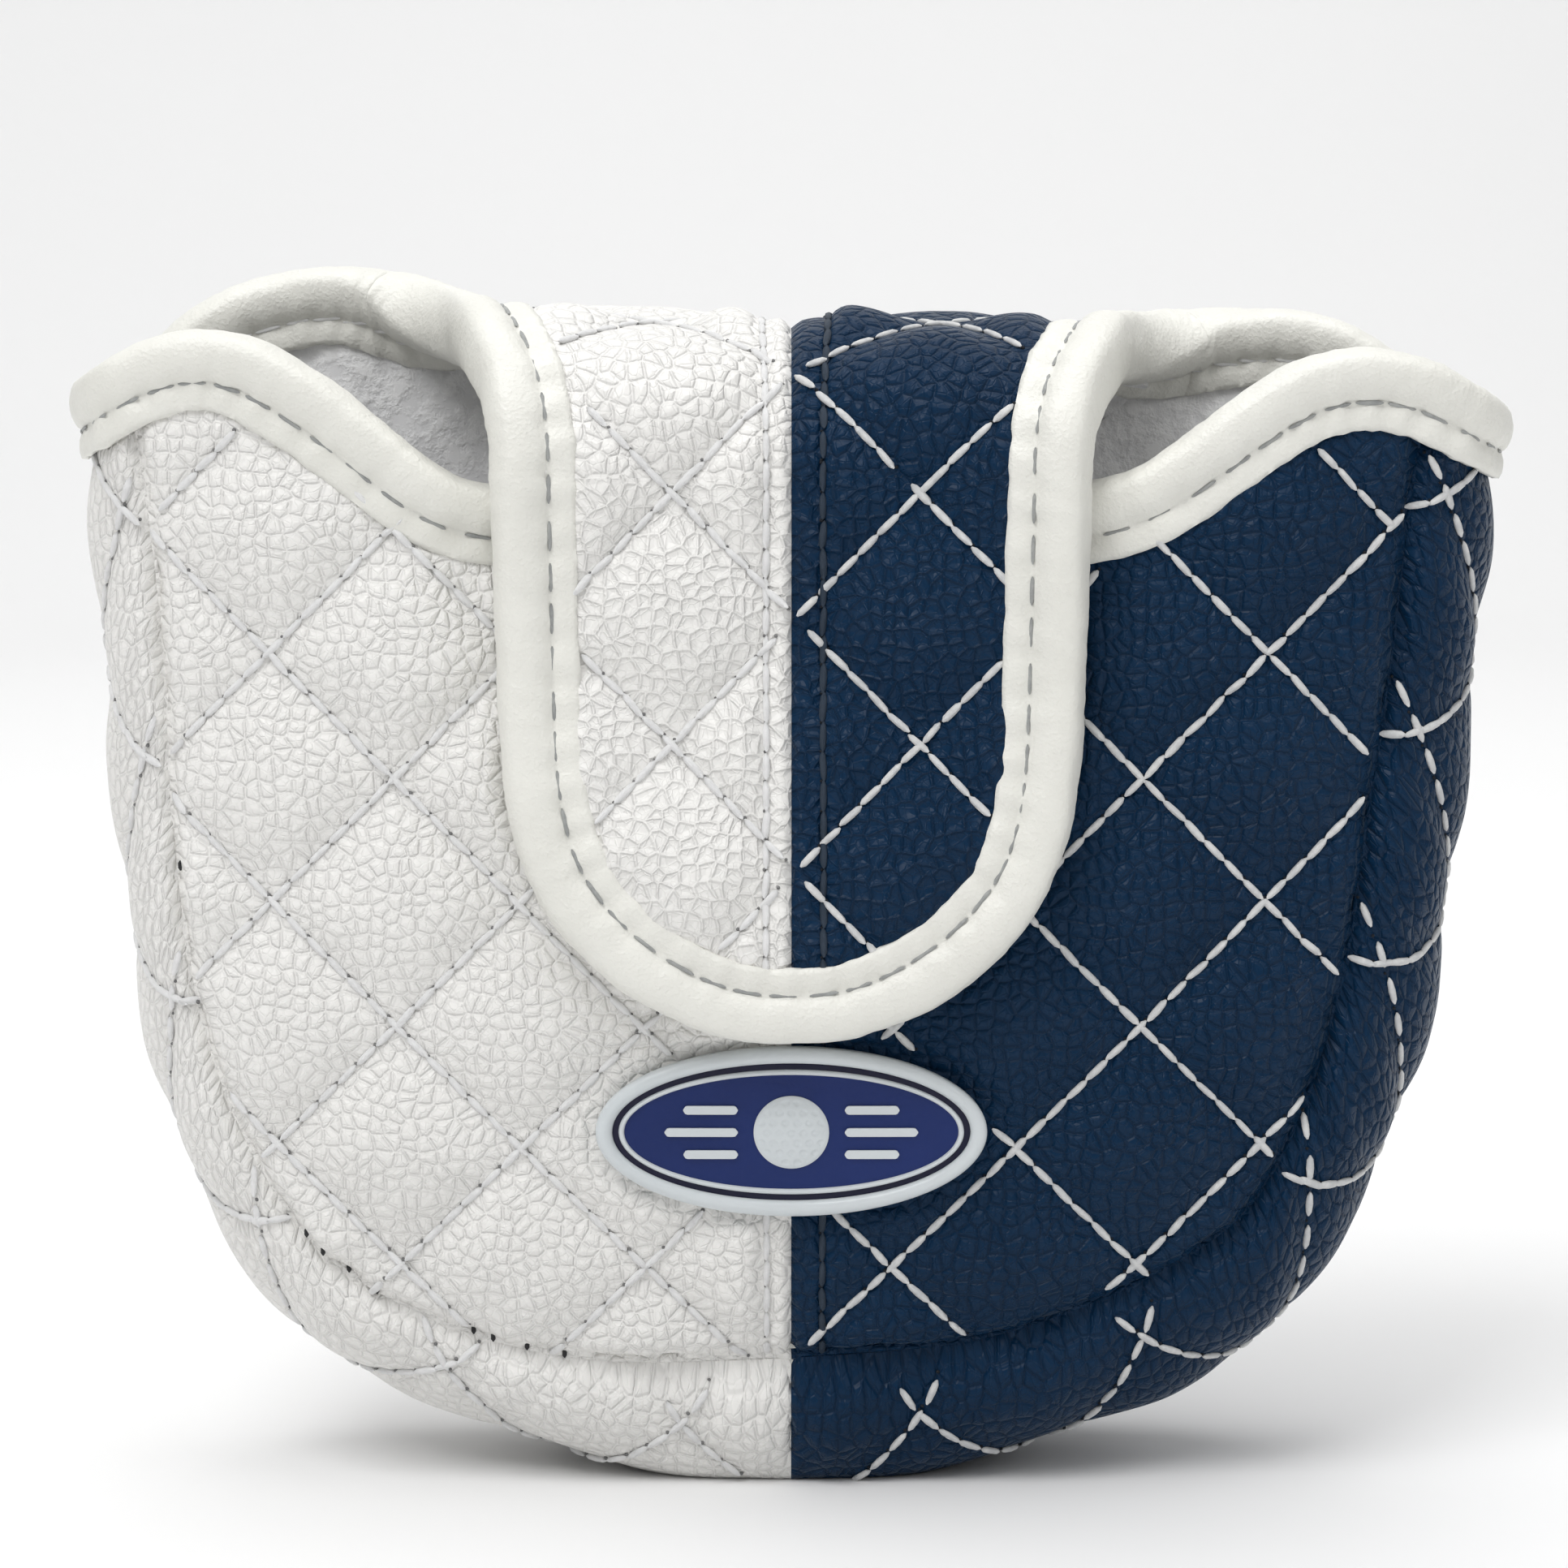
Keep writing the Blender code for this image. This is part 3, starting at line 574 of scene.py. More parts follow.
# ---------------------------------------------------------------- the pouch's shape
@dataclass
class Pouch:
    """Sizes and outlines that every piece follows, in millimetres."""

    half_seam: float = 14.0
    front_crown: float = 5.0
    back_crown: float = 4.5
    crown_run: float = 45.0
    front_lean: float = 8.0
    back_lean: float = 2.5
    lean_run: float = 50.0
    wall: float = 4.6
    flap_width: float = 55.5
    flap_drop: float = 53.4
    hinge_z: float = 99.5
    fold_rise: float = 13.8
    binding_rise: float = 2.1
    front_seam: dict = field(default_factory=dict)
    back_seam: dict = field(default_factory=dict)
    girth: dict = field(default_factory=dict)
    front_edge: dict = field(default_factory=dict)
    back_edge: dict = field(default_factory=dict)

    def __post_init__(self) -> None:
        """Draws the outlines, each from the mouth down to the middle of the bottom."""
        self.front_seam = {
            -1: smooth_curve([(-63.2, 109.3), (-61.6, 98), (-60.2, 84), (-59.6, 68), (-58, 52),
                              (-54.3, 38), (-46.5, 24.6), (-35, 17.2), (-20, 13.2), (0, 13.6)]),
            1: smooth_curve([(60.6, 108.2), (59.1, 97.5), (57.4, 82), (55.4, 66), (53, 50),
                             (49.8, 38.5), (44.6, 28.4), (35, 21.4), (19, 15.4), (0, 13.6)])}
        self.back_seam = {
            -1: smooth_curve([(-61.5, 111), (-61, 98), (-60, 80), (-58.5, 62), (-55.4, 45),
                              (-49, 31), (-37, 19.6), (-19, 14), (0, 13)]),
            1: smooth_curve([(61.3, 107.6), (61, 97), (60, 80), (58.5, 62), (55.4, 45), (49, 31),
                             (37, 19.6), (19, 14), (0, 13)])}
        self.girth = {
            -1: smooth_curve([(-68.9, 105.8), (-68.3, 91), (-67.2, 76), (-65.8, 58), (-63.4, 42),
                              (-58.7, 27.6), (-50, 14.2), (-38.8, 7.2), (-24, 2.4), (-12, -0.9),
                              (0, -1.6)]),
            1: smooth_curve([(69.1, 103.8), (68.3, 91), (67, 76), (65.3, 58), (62.7, 42),
                             (57.2, 27.6), (48.8, 14.2), (38.2, 7.2), (24, 2.4), (12, -0.9),
                             (0, -1.6)])}
        self.front_edge = {
            -1: smooth_curve([(-63.2, 109.3), (-57.5, 111), (-52, 110.4), (-46, 107.2),
                              (-40, 102.8), (-35.5, 99.2), (-31, 96.8), (-24, 96), (-12, 95.8),
                              (0, 95.7)]),
            1: smooth_curve([(60.6, 108.2), (55.5, 109.2), (50, 108.6), (44.8, 106), (40, 102.6),
                             (35.5, 99.4), (30.6, 97), (24, 96), (12, 95.8), (0, 95.7)])}
        humps = {-1: [(61.5, 111), (57, 115.2), (51.5, 117.3), (46, 117.6), (40.5, 117.2),
                      (38, 116.2), (35.6, 113.6), (32.8, 109.4), (28.9, 104.2), (25.4, 99.6)],
                 1: [(61.3, 107.6), (57, 110.6), (51.5, 112.6), (46, 113.1), (40.5, 112.9),
                     (38, 112.2), (35.4, 110.6), (32.6, 107.6), (28.8, 103.4), (25.4, 99.6)]}
        drop = np.array([(25.6, 99.3), (0.0, 99.3)])
        for side, hump in humps.items():
            edge = evenly(np.vstack([smooth_curve(hump), drop]), 400)
            self.back_edge[side] = edge * (side, 1)

    @property
    def flap_half(self) -> float:
        """Half the width of the flap's fabric, without its binding."""
        return self.flap_width / 2 - self.binding_rise

    @staticmethod
    def reach(curves: dict, x: Array, z: Array) -> Array:
        """Distance from the middle plane to a seam at a height, on the side that x is on."""
        found = []
        for side in HALVES:
            curve = curves[side][np.argsort(curves[side][:, 1])]
            found.append(np.interp(z, curve[:, 1], np.abs(curve[:, 0])))
        return np.where(x < 0, found[0], found[1])

    @staticmethod
    def floor(curves: dict, x: Array) -> Array:
        """Height of a seam's lower run below a point."""
        found = []
        for side in HALVES:
            curve = curves[side][::-1]
            found.append(np.interp(np.abs(x), np.abs(curve[:, 0]), curve[:, 1]))
        return np.where(x < 0, found[0], found[1])

    def seam_gap(self, curves: dict, x: Array, z: Array) -> Array:
        """Distance to a seam: the height of the right triangle that its two crossings make."""
        dx = np.maximum(self.reach(curves, x, z) - np.abs(x), 0)
        dz = np.maximum(z - self.floor(curves, x), 0)
        return dx * dz / np.maximum(np.hypot(dx, dz), 1e-6)

    def swell(self, curves: dict, x: Array, z: Array) -> Array:
        """0 on the seam, 1 in the middle: one less the side share to the power 2.6, times a
        parabola up from the bottom."""
        share = np.minimum(np.abs(x) / np.maximum(self.reach(curves, x, z), 1e-6), 1)
        low = curves[1][-1, 1]
        rise = np.clip((z - low) / self.crown_run, 0, 1)
        return (1 - share ** 2.6) * (1 - (1 - rise) ** 2)

    def lean(self, x: Array, z: Array) -> Array:
        """Squared cosine across the mouth times a smooth step up to the hinge."""
        across = np.cos(np.minimum(np.abs(x) / (self.flap_width * 0.88), 1) * np.pi / 2) ** 2
        return across * smoothstep((z - self.hinge_z + self.lean_run) / self.lean_run)

    def front_y(self, x: Array, z: Array) -> Array:
        """Depth of the front face."""
        return (-self.half_seam - self.front_crown * self.swell(self.front_seam, x, z)
                + self.front_lean * self.lean(x, z))

    def back_y(self, x: Array, z: Array) -> Array:
        """Depth of the back face."""
        return (self.half_seam + self.back_crown * self.swell(self.back_seam, x, z)
                - self.back_lean * self.lean(x, z))

    def flap_y(self, x: Array, z: Array) -> Array:
        """Depth of the flap's outer face, a clearance and a wall in front of the pouch."""
        near = smoothstep((z - self.hinge_z + 22) / 16)
        return self.front_y(x, z) - (1.7 + 1.1 * near) - self.wall

    def flap_gap(self, x: Array, z: Array) -> Array:
        """Distance inside the flap's fabric edge: a straight side above, an ellipse below."""
        half, top = self.flap_half, self.hinge_z - 0.2
        low = top - (self.flap_drop - self.binding_rise)
        middle = low + 25.0
        radius = np.hypot(x / half, np.minimum(z - middle, 0) / 25.0)
        return (1 - radius) * half


@dataclass(frozen=True)
class Lattice:
    """Diamond quilting: lines where (a - a0)/ca + (b - b0)/cb or their difference is even."""

    a0: float
    b0: float
    ca: float
    cb: float

    @property
    def pitch(self) -> float:
        """Distance between neighbouring parallel lines."""
        return 2 * self.ca * self.cb / math.hypot(self.ca, self.cb)

    def shares(self, a: Array, b: Array) -> tuple[Array, Array]:
        """Line counts along the two directions."""
        u, v = (a - self.a0) / self.ca, (b - self.b0) / self.cb
        return (u + v) / 2, (u - v) / 2

    def gaps(self, a: Array, b: Array) -> tuple[Array, Array]:
        """Distances to the nearest line of each family."""
        p, q = self.shares(a, b)
        return np.abs(p - np.round(p)) * self.pitch, np.abs(q - np.round(q)) * self.pitch

    def pillow(self, a: Array, b: Array) -> Array:
        """Foam between the lines: each way 1 - (1 - d/half)^2.6, multiplied."""
        half = self.pitch / 2
        dp, dq = self.gaps(a, b)
        return (1 - (1 - dp / half) ** 2.6) * (1 - (1 - dq / half) ** 2.6)

    def pucker(self, a: Array, b: Array, stitch: float = 2.7) -> Array:
        """Small ripples at each stitch that fade away from the lines."""
        p, q = self.shares(a, b)
        dp, dq = self.gaps(a, b)
        step = 2 * np.pi * self.pitch / stitch
        return (np.cos(q * step) * np.exp(-dp / 1.1) * (1 - np.exp(-dp / 0.35))
                + np.cos(p * step) * np.exp(-dq / 1.1) * (1 - np.exp(-dq / 0.35)))

    def lines(self, low: tuple[float, float], high: tuple[float, float],
              stitch: float = 2.7) -> tuple[Array, Array, Array]:
        """Stitch places along every line inside a box.

        Returns:
            Places (a, b), and the direction of the line at each as (da, db).
        """
        corners = np.array([(x, y) for x in (low[0], high[0]) for y in (low[1], high[1])])
        p, q = self.shares(corners[:, 0], corners[:, 1])
        places, ways = [], []
        step = stitch / self.pitch
        p_fine, q_fine = np.arange(p.min(), p.max(), step), np.arange(q.min(), q.max(), step)
        for whole, fine, sign in ((np.arange(math.ceil(p.min()), p.max()), q_fine, 1),
                                  (np.arange(math.ceil(q.min()), q.max()), p_fine, -1)):
            one, other = np.meshgrid(whole, fine + step / 2, indexing="ij")
            pp, qq = (one, other) if sign == 1 else (other, one)
            places.append(np.stack([self.a0 + self.ca * (pp + qq),
                                    self.b0 + self.cb * (pp - qq)], -1).reshape(-1, 2))
            way = unit(np.array([self.ca, -sign * self.cb]))
            ways.append(np.broadcast_to(way, places[-1].shape))
        spot, way = np.concatenate(places), np.concatenate(ways)
        keep = ((spot > low) & (spot < high)).all(axis=1)
        return spot[keep, 0], spot[keep, 1], way[keep]


class Surface:
    """A face of the cover as a function of two coordinates in millimetres."""

    lattice: Lattice
    turn: float = 1.0
    puff: float = 2.0

    def __init__(self, pouch: Pouch) -> None:
        """Takes the pouch it lies on."""
        self.pouch = pouch

    def base(self, a: Array, b: Array) -> Array:
        """Smooth place without relief."""
        raise NotImplementedError

    def relief(self, a: Array, b: Array) -> Array:
        """Height of the leather over the smooth place."""
        raise NotImplementedError

    def normal(self, a: Array, b: Array) -> Array:
        """Outward normal of the smooth place, from small differences."""
        step = 0.05
        along = self.base(a + step, b) - self.base(a - step, b)
        up = self.base(a, b + step) - self.base(a, b - step)
        return unit(np.cross(along, up)) * self.turn

    def at(self, a: Array, b: Array, lift: Array | float = 0.0) -> Array:
        """Smooth place moved out by lift."""
        return self.base(a, b) + self.normal(a, b) * np.asarray(lift)[..., None]

    def skin(self, a: Array, b: Array, lift: float = 0.0) -> Array:
        """Place on the leather itself."""
        return self.at(a, b, self.relief(a, b) + lift)

    def quilted(self, a: Array, b: Array, pinch: Array, seed: int) -> Array:
        """Relief of quilted leather: pillows, ripples at the stitches and soft unevenness."""
        lattice = self.lattice
        uneven = 1 + 0.12 * drift(a, b, seed, 26)
        return (self.puff * lattice.pillow(a, b) * pinch * uneven
                + 0.16 * lattice.pucker(a, b) * pinch
                + 0.10 * drift(a, b, seed + 1, 9) * pinch)


def centre_seam(a: Array) -> tuple[Array, Array]:
    """The middle seam with a row of topstitching on each side: (share of foam left, relief)."""
    left = 1 - 0.93 * np.exp(-(a / 3.6) ** 4)
    groove = -0.75 * np.exp(-(a / 0.45) ** 2) + 0.35 * np.exp(-((a + 0.9) / 0.8) ** 2)
    rows = -0.35 * sum(np.exp(-((a - row) / 0.4) ** 2) for row in (LEFT_ROW, RIGHT_ROW))
    return left, groove + rows + 0.25 * np.exp(-((a - 1.6) / 0.9) ** 2)


class FrontFace(Surface):
    """Front of the pouch; coordinates are x and z."""

    lattice = Lattice(-2.2, 58.7, 11.85, 11.9)

    def base(self, a: Array, b: Array) -> Array:
        """The crowned front."""
        return np.stack([a, self.pouch.front_y(a, b), b], axis=-1)

    def mouth_gap(self, a: Array, b: Array) -> Array:
        """Distance below the mouth's fabric edge."""
        edge = np.vstack([self.pouch.front_edge[-1], self.pouch.front_edge[1][::-1]])
        return (np.interp(a, edge[:, 0], edge[:, 1]) - b) * 0.85

    def relief(self, a: Array, b: Array) -> Array:
        """Pillows that die out at the seam, under the binding, under the flap and the badge."""
        pouch = self.pouch
        gap = pouch.seam_gap(pouch.front_seam, a, b)
        mouth = np.maximum(self.mouth_gap(a, b) - HIDDEN_MARGIN, 0)
        left, seam = centre_seam(a)
        covered = smoothstep((pouch.flap_gap(a, b) + 3.5) / 3.0)
        badge = 1 - smoothstep((badge_share(a, b) - 1.0) / 0.22)
        pinch = (1 - np.exp(-gap / 1.9)) * (1 - np.exp(-mouth / 2.6)) * left
        pinch = pinch * (1 - 0.93 * covered) * (1 - 0.9 * badge)
        height = self.quilted(a, b, pinch, 11)
        along = np.arctan2(b - 60, a) * 55
        height = height + 0.34 * drift(along, gap * 0.3, 17, 5.5) * np.exp(-gap / 2.6)
        gather = np.exp(-mouth / 3.0) * smoothstep(mouth / 1.5) * (1 - covered)
        height = height + 0.45 * drift(a, mouth * 0.4, 19, 6) * gather
        return height - 1.15 * np.exp(-(gap / 0.9) ** 2) + seam * (1 - covered) * (1 - badge)


class BackFace(Surface):
    """Back of the pouch; coordinates are x and z."""

    lattice = Lattice(0.4, 44.3, 11.65, 11.75)
    turn = -1.0

    def base(self, a: Array, b: Array) -> Array:
        """The crowned back."""
        return np.stack([a, self.pouch.back_y(a, b), b], axis=-1)

    def mouth_gap(self, a: Array, b: Array) -> Array:
        """Distance below the hump's fabric edge; between the humps there is none."""
        edge = self.pouch.back_edge[1][::-1]
        gap = (np.interp(np.abs(a), edge[:, 0], edge[:, 1]) - b) * 0.85
        return np.where(np.abs(a) < 28.5, 30.0, gap)

    def relief(self, a: Array, b: Array) -> Array:
        """Pillows that die out at the seam and under the binding."""
        pouch = self.pouch
        gap = pouch.seam_gap(pouch.back_seam, a, b)
        mouth = np.maximum(self.mouth_gap(a, b) - HIDDEN_MARGIN, 0)
        mouth = np.maximum(mouth, 5 * smoothstep((38.5 - np.abs(a)) / 5))
        left, seam = centre_seam(a)
        pinch = (1 - np.exp(-gap / 1.9)) * (1 - np.exp(-mouth / 2.6)) * left
        height = self.quilted(a, b, pinch, 31)
        along = np.arctan2(b - 60, a) * 55
        height = height + 0.34 * drift(along, gap * 0.3, 37, 5.5) * np.exp(-gap / 2.6)
        return height - 1.15 * np.exp(-(gap / 0.9) ** 2) + seam


class Tongue(Surface):
    """Flap and fold in one: x across, and the length s along it, equal to z on the flap and
    running on round the fold above the hinge."""

    lattice = Lattice(0.4, 62.6, 11.65, 11.75)
    puff = 2.2
    flare: tuple[tuple[float, float], ...] = (
        (0, 0), (0.1, 3.9), (0.2, 8.0), (0.28, 10.0), (0.34, 8.6), (0.4, 7.0), (0.47, 5.8),
        (0.55, 5.2), (0.65, 3.8), (0.75, 2.0), (0.85, 0.6), (0.95, 0), (1, 0))
    left_lift: float = 1.7
    right_lift: float = 0.2

    def __init__(self, pouch: Pouch) -> None:
        """Tabulates length against angle round the fold's ellipse."""
        super().__init__(pouch)
        angle = np.linspace(0, math.pi, 400)
        steps = np.stack([17.2 * np.cos(angle), pouch.fold_rise * np.sin(angle)], axis=1)
        self.angles, self.arc = angle, lengths(steps)
        self.widths = smooth_curve(np.array(self.flare))

    @property
    def top(self) -> float:
        """Length s at the back end of the fold."""
        return self.pouch.hinge_z + 0.1 + self.arc[-1]

    def fold(self, x: Array, angle: Array, depth: Array | float = 0.0) -> Array:
        """Roll over the top; angle 0 is at the flap and pi at the back.

        An ellipse whose back half grows squarer towards the sides, with the power n in
        (|cos|^n + |sin|^n)^(-1/n). It is widest near the top, and its left side is drawn up.
        """
        pouch = self.pouch
        flat = np.full_like(np.asarray(x, float), pouch.hinge_z)
        back, front = pouch.back_y(x, flat), pouch.flap_y(x, flat)
        cos, sin = np.cos(angle), np.maximum(np.sin(angle), 0)
        power = 2 + 3.5 * smoothstep((np.abs(x) - 12) / 13) * smoothstep(-cos / 0.4)
        radius = (np.abs(cos) ** power + sin ** power) ** (-1 / power)
        y = (back + front) / 2 - ((back - front) / 2 - depth) * cos * radius
        turn = 1 - np.asarray(angle) / np.pi
        wide = np.interp(turn, self.widths[:, 0], self.widths[:, 1]) / pouch.flap_half
        wide = wide * (np.abs(x) / pouch.flap_half) ** (1.5 * (1 - smoothstep((turn - 0.3) / 0.2)))
        behind = 1 - smoothstep((turn - 0.3) / 0.15)
        lift = np.where(x < 0, self.left_lift, self.right_lift - 1.8 * behind)
        lift = lift * smoothstep((np.abs(x) - 9) / 17) * smoothstep(sin / 0.9)
        return np.stack([x * (1 + wide) + 0 * y, y,
                         pouch.hinge_z + 0.1 + (pouch.fold_rise - depth) * sin * radius + lift],
                        axis=-1)

    def base(self, a: Array, b: Array) -> Array:
        """The flap below the hinge, the fold above it."""
        a, b = np.broadcast_arrays(np.asarray(a, float), np.asarray(b, float))
        turn = self.pouch.hinge_z + 0.1
        angle = np.interp(b - turn, self.arc, self.angles)
        past = np.maximum(b - turn - self.arc[-1], 0)
        fold = self.fold(a, angle) - past[..., None] * (0, 0, 1)
        flap = np.stack([a, self.pouch.flap_y(a, np.minimum(b, turn)), b], axis=-1)
        return np.where((b > turn)[..., None], fold, flap)

    def relief(self, a: Array, b: Array) -> Array:
        """Pillows that die out under the binding."""
        edge = np.maximum(self.pouch.flap_gap(a, b) - STITCH_MARGIN, 0)
        joined = 4 * smoothstep((b - self.top + 12) / 8)
        edge = np.where(b > self.top - 12, np.maximum(edge, joined), edge)
        left, seam = centre_seam(a)
        pinch = (1 - np.exp(-edge / 2.2)) * left
        height = self.quilted(a, b, pinch, 51)
        along = np.arctan2(b - 75, a) * 22
        gather = np.exp(-edge / 2.4) * smoothstep(edge / 1.5)
        height = height + 0.4 * drift(along, edge * 0.3, 57, 4.5) * gather
        return height + seam


class GussetBand(Surface):
    """Band round the sides and the bottom: a is the length from the middle of the bottom,
    negative on the left, and b the distance across from the front seam."""

    lattice = Lattice(12.6, 3.4, 11.45, 12.1)
    width: float = 33.0
    run: float = 136.5
    puff = 1.25

    def __init__(self, pouch: Pouch) -> None:
        """Samples the three guide curves at equal lengths."""
        super().__init__(pouch)
        self.guides = {side: [evenly(curves[side], 300) for curves in
                              (pouch.front_seam, pouch.back_seam, pouch.girth)]
                       for side in (-1, 1)}

    def base(self, a: Array, b: Array) -> Array:
        """Superelliptic section between the seams: y follows a cosine and the bulge a sine,
        both to the power 2/n, with n growing towards the flat bottom."""
        a, b = np.broadcast_arrays(np.asarray(a, float), np.asarray(b, float))
        share = 1 - np.clip(np.abs(a) / self.run, 0, 1)
        angle = np.pi * np.clip(b / self.width, 0, 1)
        power = 2 / (2.2 + 0.9 * smoothstep(share * 3 - 2))
        cos, sin = np.cos(angle), np.maximum(np.sin(angle), 0)
        across = np.sign(cos) * np.abs(cos) ** power
        bulge = sin ** power
        points = []
        for side in (-1, 1):
            front, back, girth = (
                np.stack([np.interp(share, np.linspace(0, 1, 301), g[:, k]) for k in (0, 1)], -1)
                for g in self.guides[side])
            way = ((1 - across) / 2)[..., None]
            line = (1 - way) * front + way * back
            flat = line + (girth - line) * bulge[..., None]
            points.append(np.stack([flat[..., 0], -self.pouch.half_seam * across,
                                    np.maximum(flat[..., 1], 0.0)], axis=-1))
        return np.where((a < 0)[..., None], points[0], points[1])

    def normal(self, a: Array, b: Array) -> Array:
        """Outward normal, taken a little inside the seams where the section starts flat."""
        b = np.clip(b, 0.8, self.width - 0.8)
        step = 0.3
        along = self.base(a + step, b) - self.base(a - step, b)
        up = self.base(a, b + step) - self.base(a, b - step)
        return unit(np.cross(up, along))

    def relief(self, a: Array, b: Array) -> Array:
        """Pillows between the two seams, pulled in along both; none where it stands."""
        a, b = np.broadcast_arrays(np.asarray(a, float), np.asarray(b, float))
        gap = np.minimum(b, self.width - b)
        mouth = np.maximum(self.run - np.abs(a) - HIDDEN_MARGIN, 0)
        foot = smoothstep((np.abs(a) - 14) / 26) + (1 - smoothstep((gap - 5) / 6))
        foot = np.clip(foot, 0, 1)
        pinch = (1 - np.exp(-gap / 1.8)) * (1 - np.exp(-mouth / 2.6))
        middle = 1 - 0.9 * np.exp(-(a / 2.2) ** 4)
        height = self.quilted(a, b, pinch * middle, 71) * foot
        gather = 1 + 1.1 * np.exp(-((a - 70) / 22) ** 2)
        crease = drift(a + 0.25 * b, b * 0.12, 73, 7) * np.exp(-gap / 4.5)
        height = height + 0.38 * gather * crease * foot * (1 - np.exp(-gap / 0.8))
        height = height - 0.9 * (1 - np.exp(-gap / 2.5)) * foot
        groove = -1.1 * np.exp(-(gap / 0.9) ** 2) - 0.7 * np.exp(-(a / 0.45) ** 2) * foot
        return height + groove


# ---------------------------------------------------------------- skins
def coons(top: Array, side: Array, bottom: Array, centre: Array) -> Array:
    """Grid filling four edges: the two ruled surfaces added, less the one through the corners."""
    u = np.linspace(0, 1, len(top))[:, None, None]
    v = np.linspace(0, 1, len(side))[None, :, None]
    ruled = (1 - v) * top[:, None] + v * bottom[:, None]
    ruled = ruled + (1 - u) * side[None] + u * centre[None]
    corners = (1 - u) * (1 - v) * top[0] + u * (1 - v) * top[-1]
    corners = corners + (1 - u) * v * bottom[0] + u * v * bottom[-1]
    return ruled - corners


def half_panel(edge: Array, seam: Array, columns: int, rows: int) -> Array:
    """Half of a U-shaped panel as a grid; its inner column stands at x = 0."""
    seam, top = evenly(seam, columns + rows), evenly(edge, columns)
    top[0] = seam[0]
    top[-1, 0] = seam[-1, 0] = 0.0
    centre = np.linspace(top[-1], seam[-1], rows + 1)
    return coons(top, seam[:rows + 1], seam[rows:], centre)


@dataclass
class Skins:
    """Outer leather: front, back, gusset, flap and fold, white on the left, navy on the right."""

    pouch: Pouch
    wardrobe: Wardrobe
    thickness: float = 0.75

    def put_on(self, name: str, surface: Surface, grid: Array, side: Side,
               nodes: tuple[str, ...]) -> bpy.types.Object:
        """One leather panel as a closed thin body that stands for its CAD solid."""
        a, b = grid[..., 0], grid[..., 1]
        height = surface.relief(a, b)
        outer = surface.at(a, b, height)
        outer[..., 2] = np.maximum(outer[..., 2], 0.03)
        inner = surface.at(a, b, 0.4 * height - self.thickness)
        obj = shell(name, outer, inner, grid)
        finish = Finish.WHITE if side is Side.LEFT else Finish.NAVY
        self.wardrobe.dress(obj, finish)
        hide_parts(*nodes)
        return obj

    def build(self, faces: dict[str, Surface]) -> list[bpy.types.Object]:
        """All ten panels.

        Args:
            faces: the surfaces by name.

        Returns:
            The panels.
        """
        made = []
        pouch = self.pouch
        for side, colour in ((Side.LEFT, "white"), (Side.RIGHT, "navy")):
            s = side.value
            grids = {
                "front": half_panel(pouch.front_edge[s], pouch.front_seam[s], 104, 150),
                "back": half_panel(pouch.back_edge[s], pouch.back_seam[s], 110, 150),
                "flap": half_panel(flap_top(pouch, s), flap_outline(pouch, s), 58, 112),
                "fold": self.fold_grid(s, faces["tongue"].top),
                "gusset": self.gusset_grid(s, faces["gusset"]),
            }
            for part, grid in grids.items():
                surface = faces["tongue" if part in ("flap", "fold") else part]
                node = f"{part}_{colour}_panel"
                obj = self.put_on(f"{part}_{colour}_leather", surface, grid, side, (node,))
                carry(obj, part)
                made.append(obj)
                log.info("%s: %d faces", obj.name, len(obj.data.polygons))
        return made

    def fold_grid(self, s: int, top: float) -> Array:
        """Half of the fold, from the hinge over the top to the back."""
        x = np.linspace(s * self.pouch.flap_half, 0.0, 59)
        length = np.linspace(self.pouch.hinge_z - 0.2, top + 0.3, 112)
        return np.stack(np.meshgrid(x, length, indexing="ij"), axis=-1)

    def gusset_grid(self, s: int, band: GussetBand) -> Array:
        """Half of the gusset, from its mouth to the middle of the bottom."""
        a = np.linspace(s * band.run, 0.0, 250)
        b = np.linspace(0.05, band.width - 0.05, 74)
        return np.stack(np.meshgrid(a, b, indexing="ij"), axis=-1)


def seam_piping(pouch: Pouch, wardrobe: Wardrobe) -> list[bpy.types.Object]:
    """Seam allowances that close the valley between the panels: a circle along each seam,
    sunk under the leather."""
    made = []
    angle = np.linspace(0, 2 * np.pi, 12, endpoint=False)
    for face, curves, sign in (("front", pouch.front_seam, -1), ("back", pouch.back_seam, 1)):
        for side, colour in ((-1, "white"), (1, "navy")):
            line = evenly(curves[side], 260)[4:]
            path = np.stack([line[:, 0], np.full(len(line), sign * (pouch.half_seam - 2.0)),
                             line[:, 1]], axis=1)
            along = unit(np.gradient(path, axis=0))
            depth = np.broadcast_to((0.0, 1.0, 0.0), along.shape)
            across = unit(np.cross(along, depth))
            rings = (path[:, None] + 0.95 * np.cos(angle)[None, :, None] * across[:, None]
                     + 0.95 * np.sin(angle)[None, :, None] * depth[:, None])
            points, quads = rings.reshape(-1, 3), tube_quads(*rings.shape[:2])
            uv = np.stack(np.broadcast_arrays(lengths(path)[:, None], angle[None]), axis=-1)
            obj = make_mesh(f"{face}_{colour}_seam_allowance", points, outward(points, quads),
                            uv.reshape(-1, 2))
            wardrobe.dress(obj, Finish.WHITE if side < 0 else Finish.NAVY)
            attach(obj, "cover_body")
            made.append(obj)
    return made


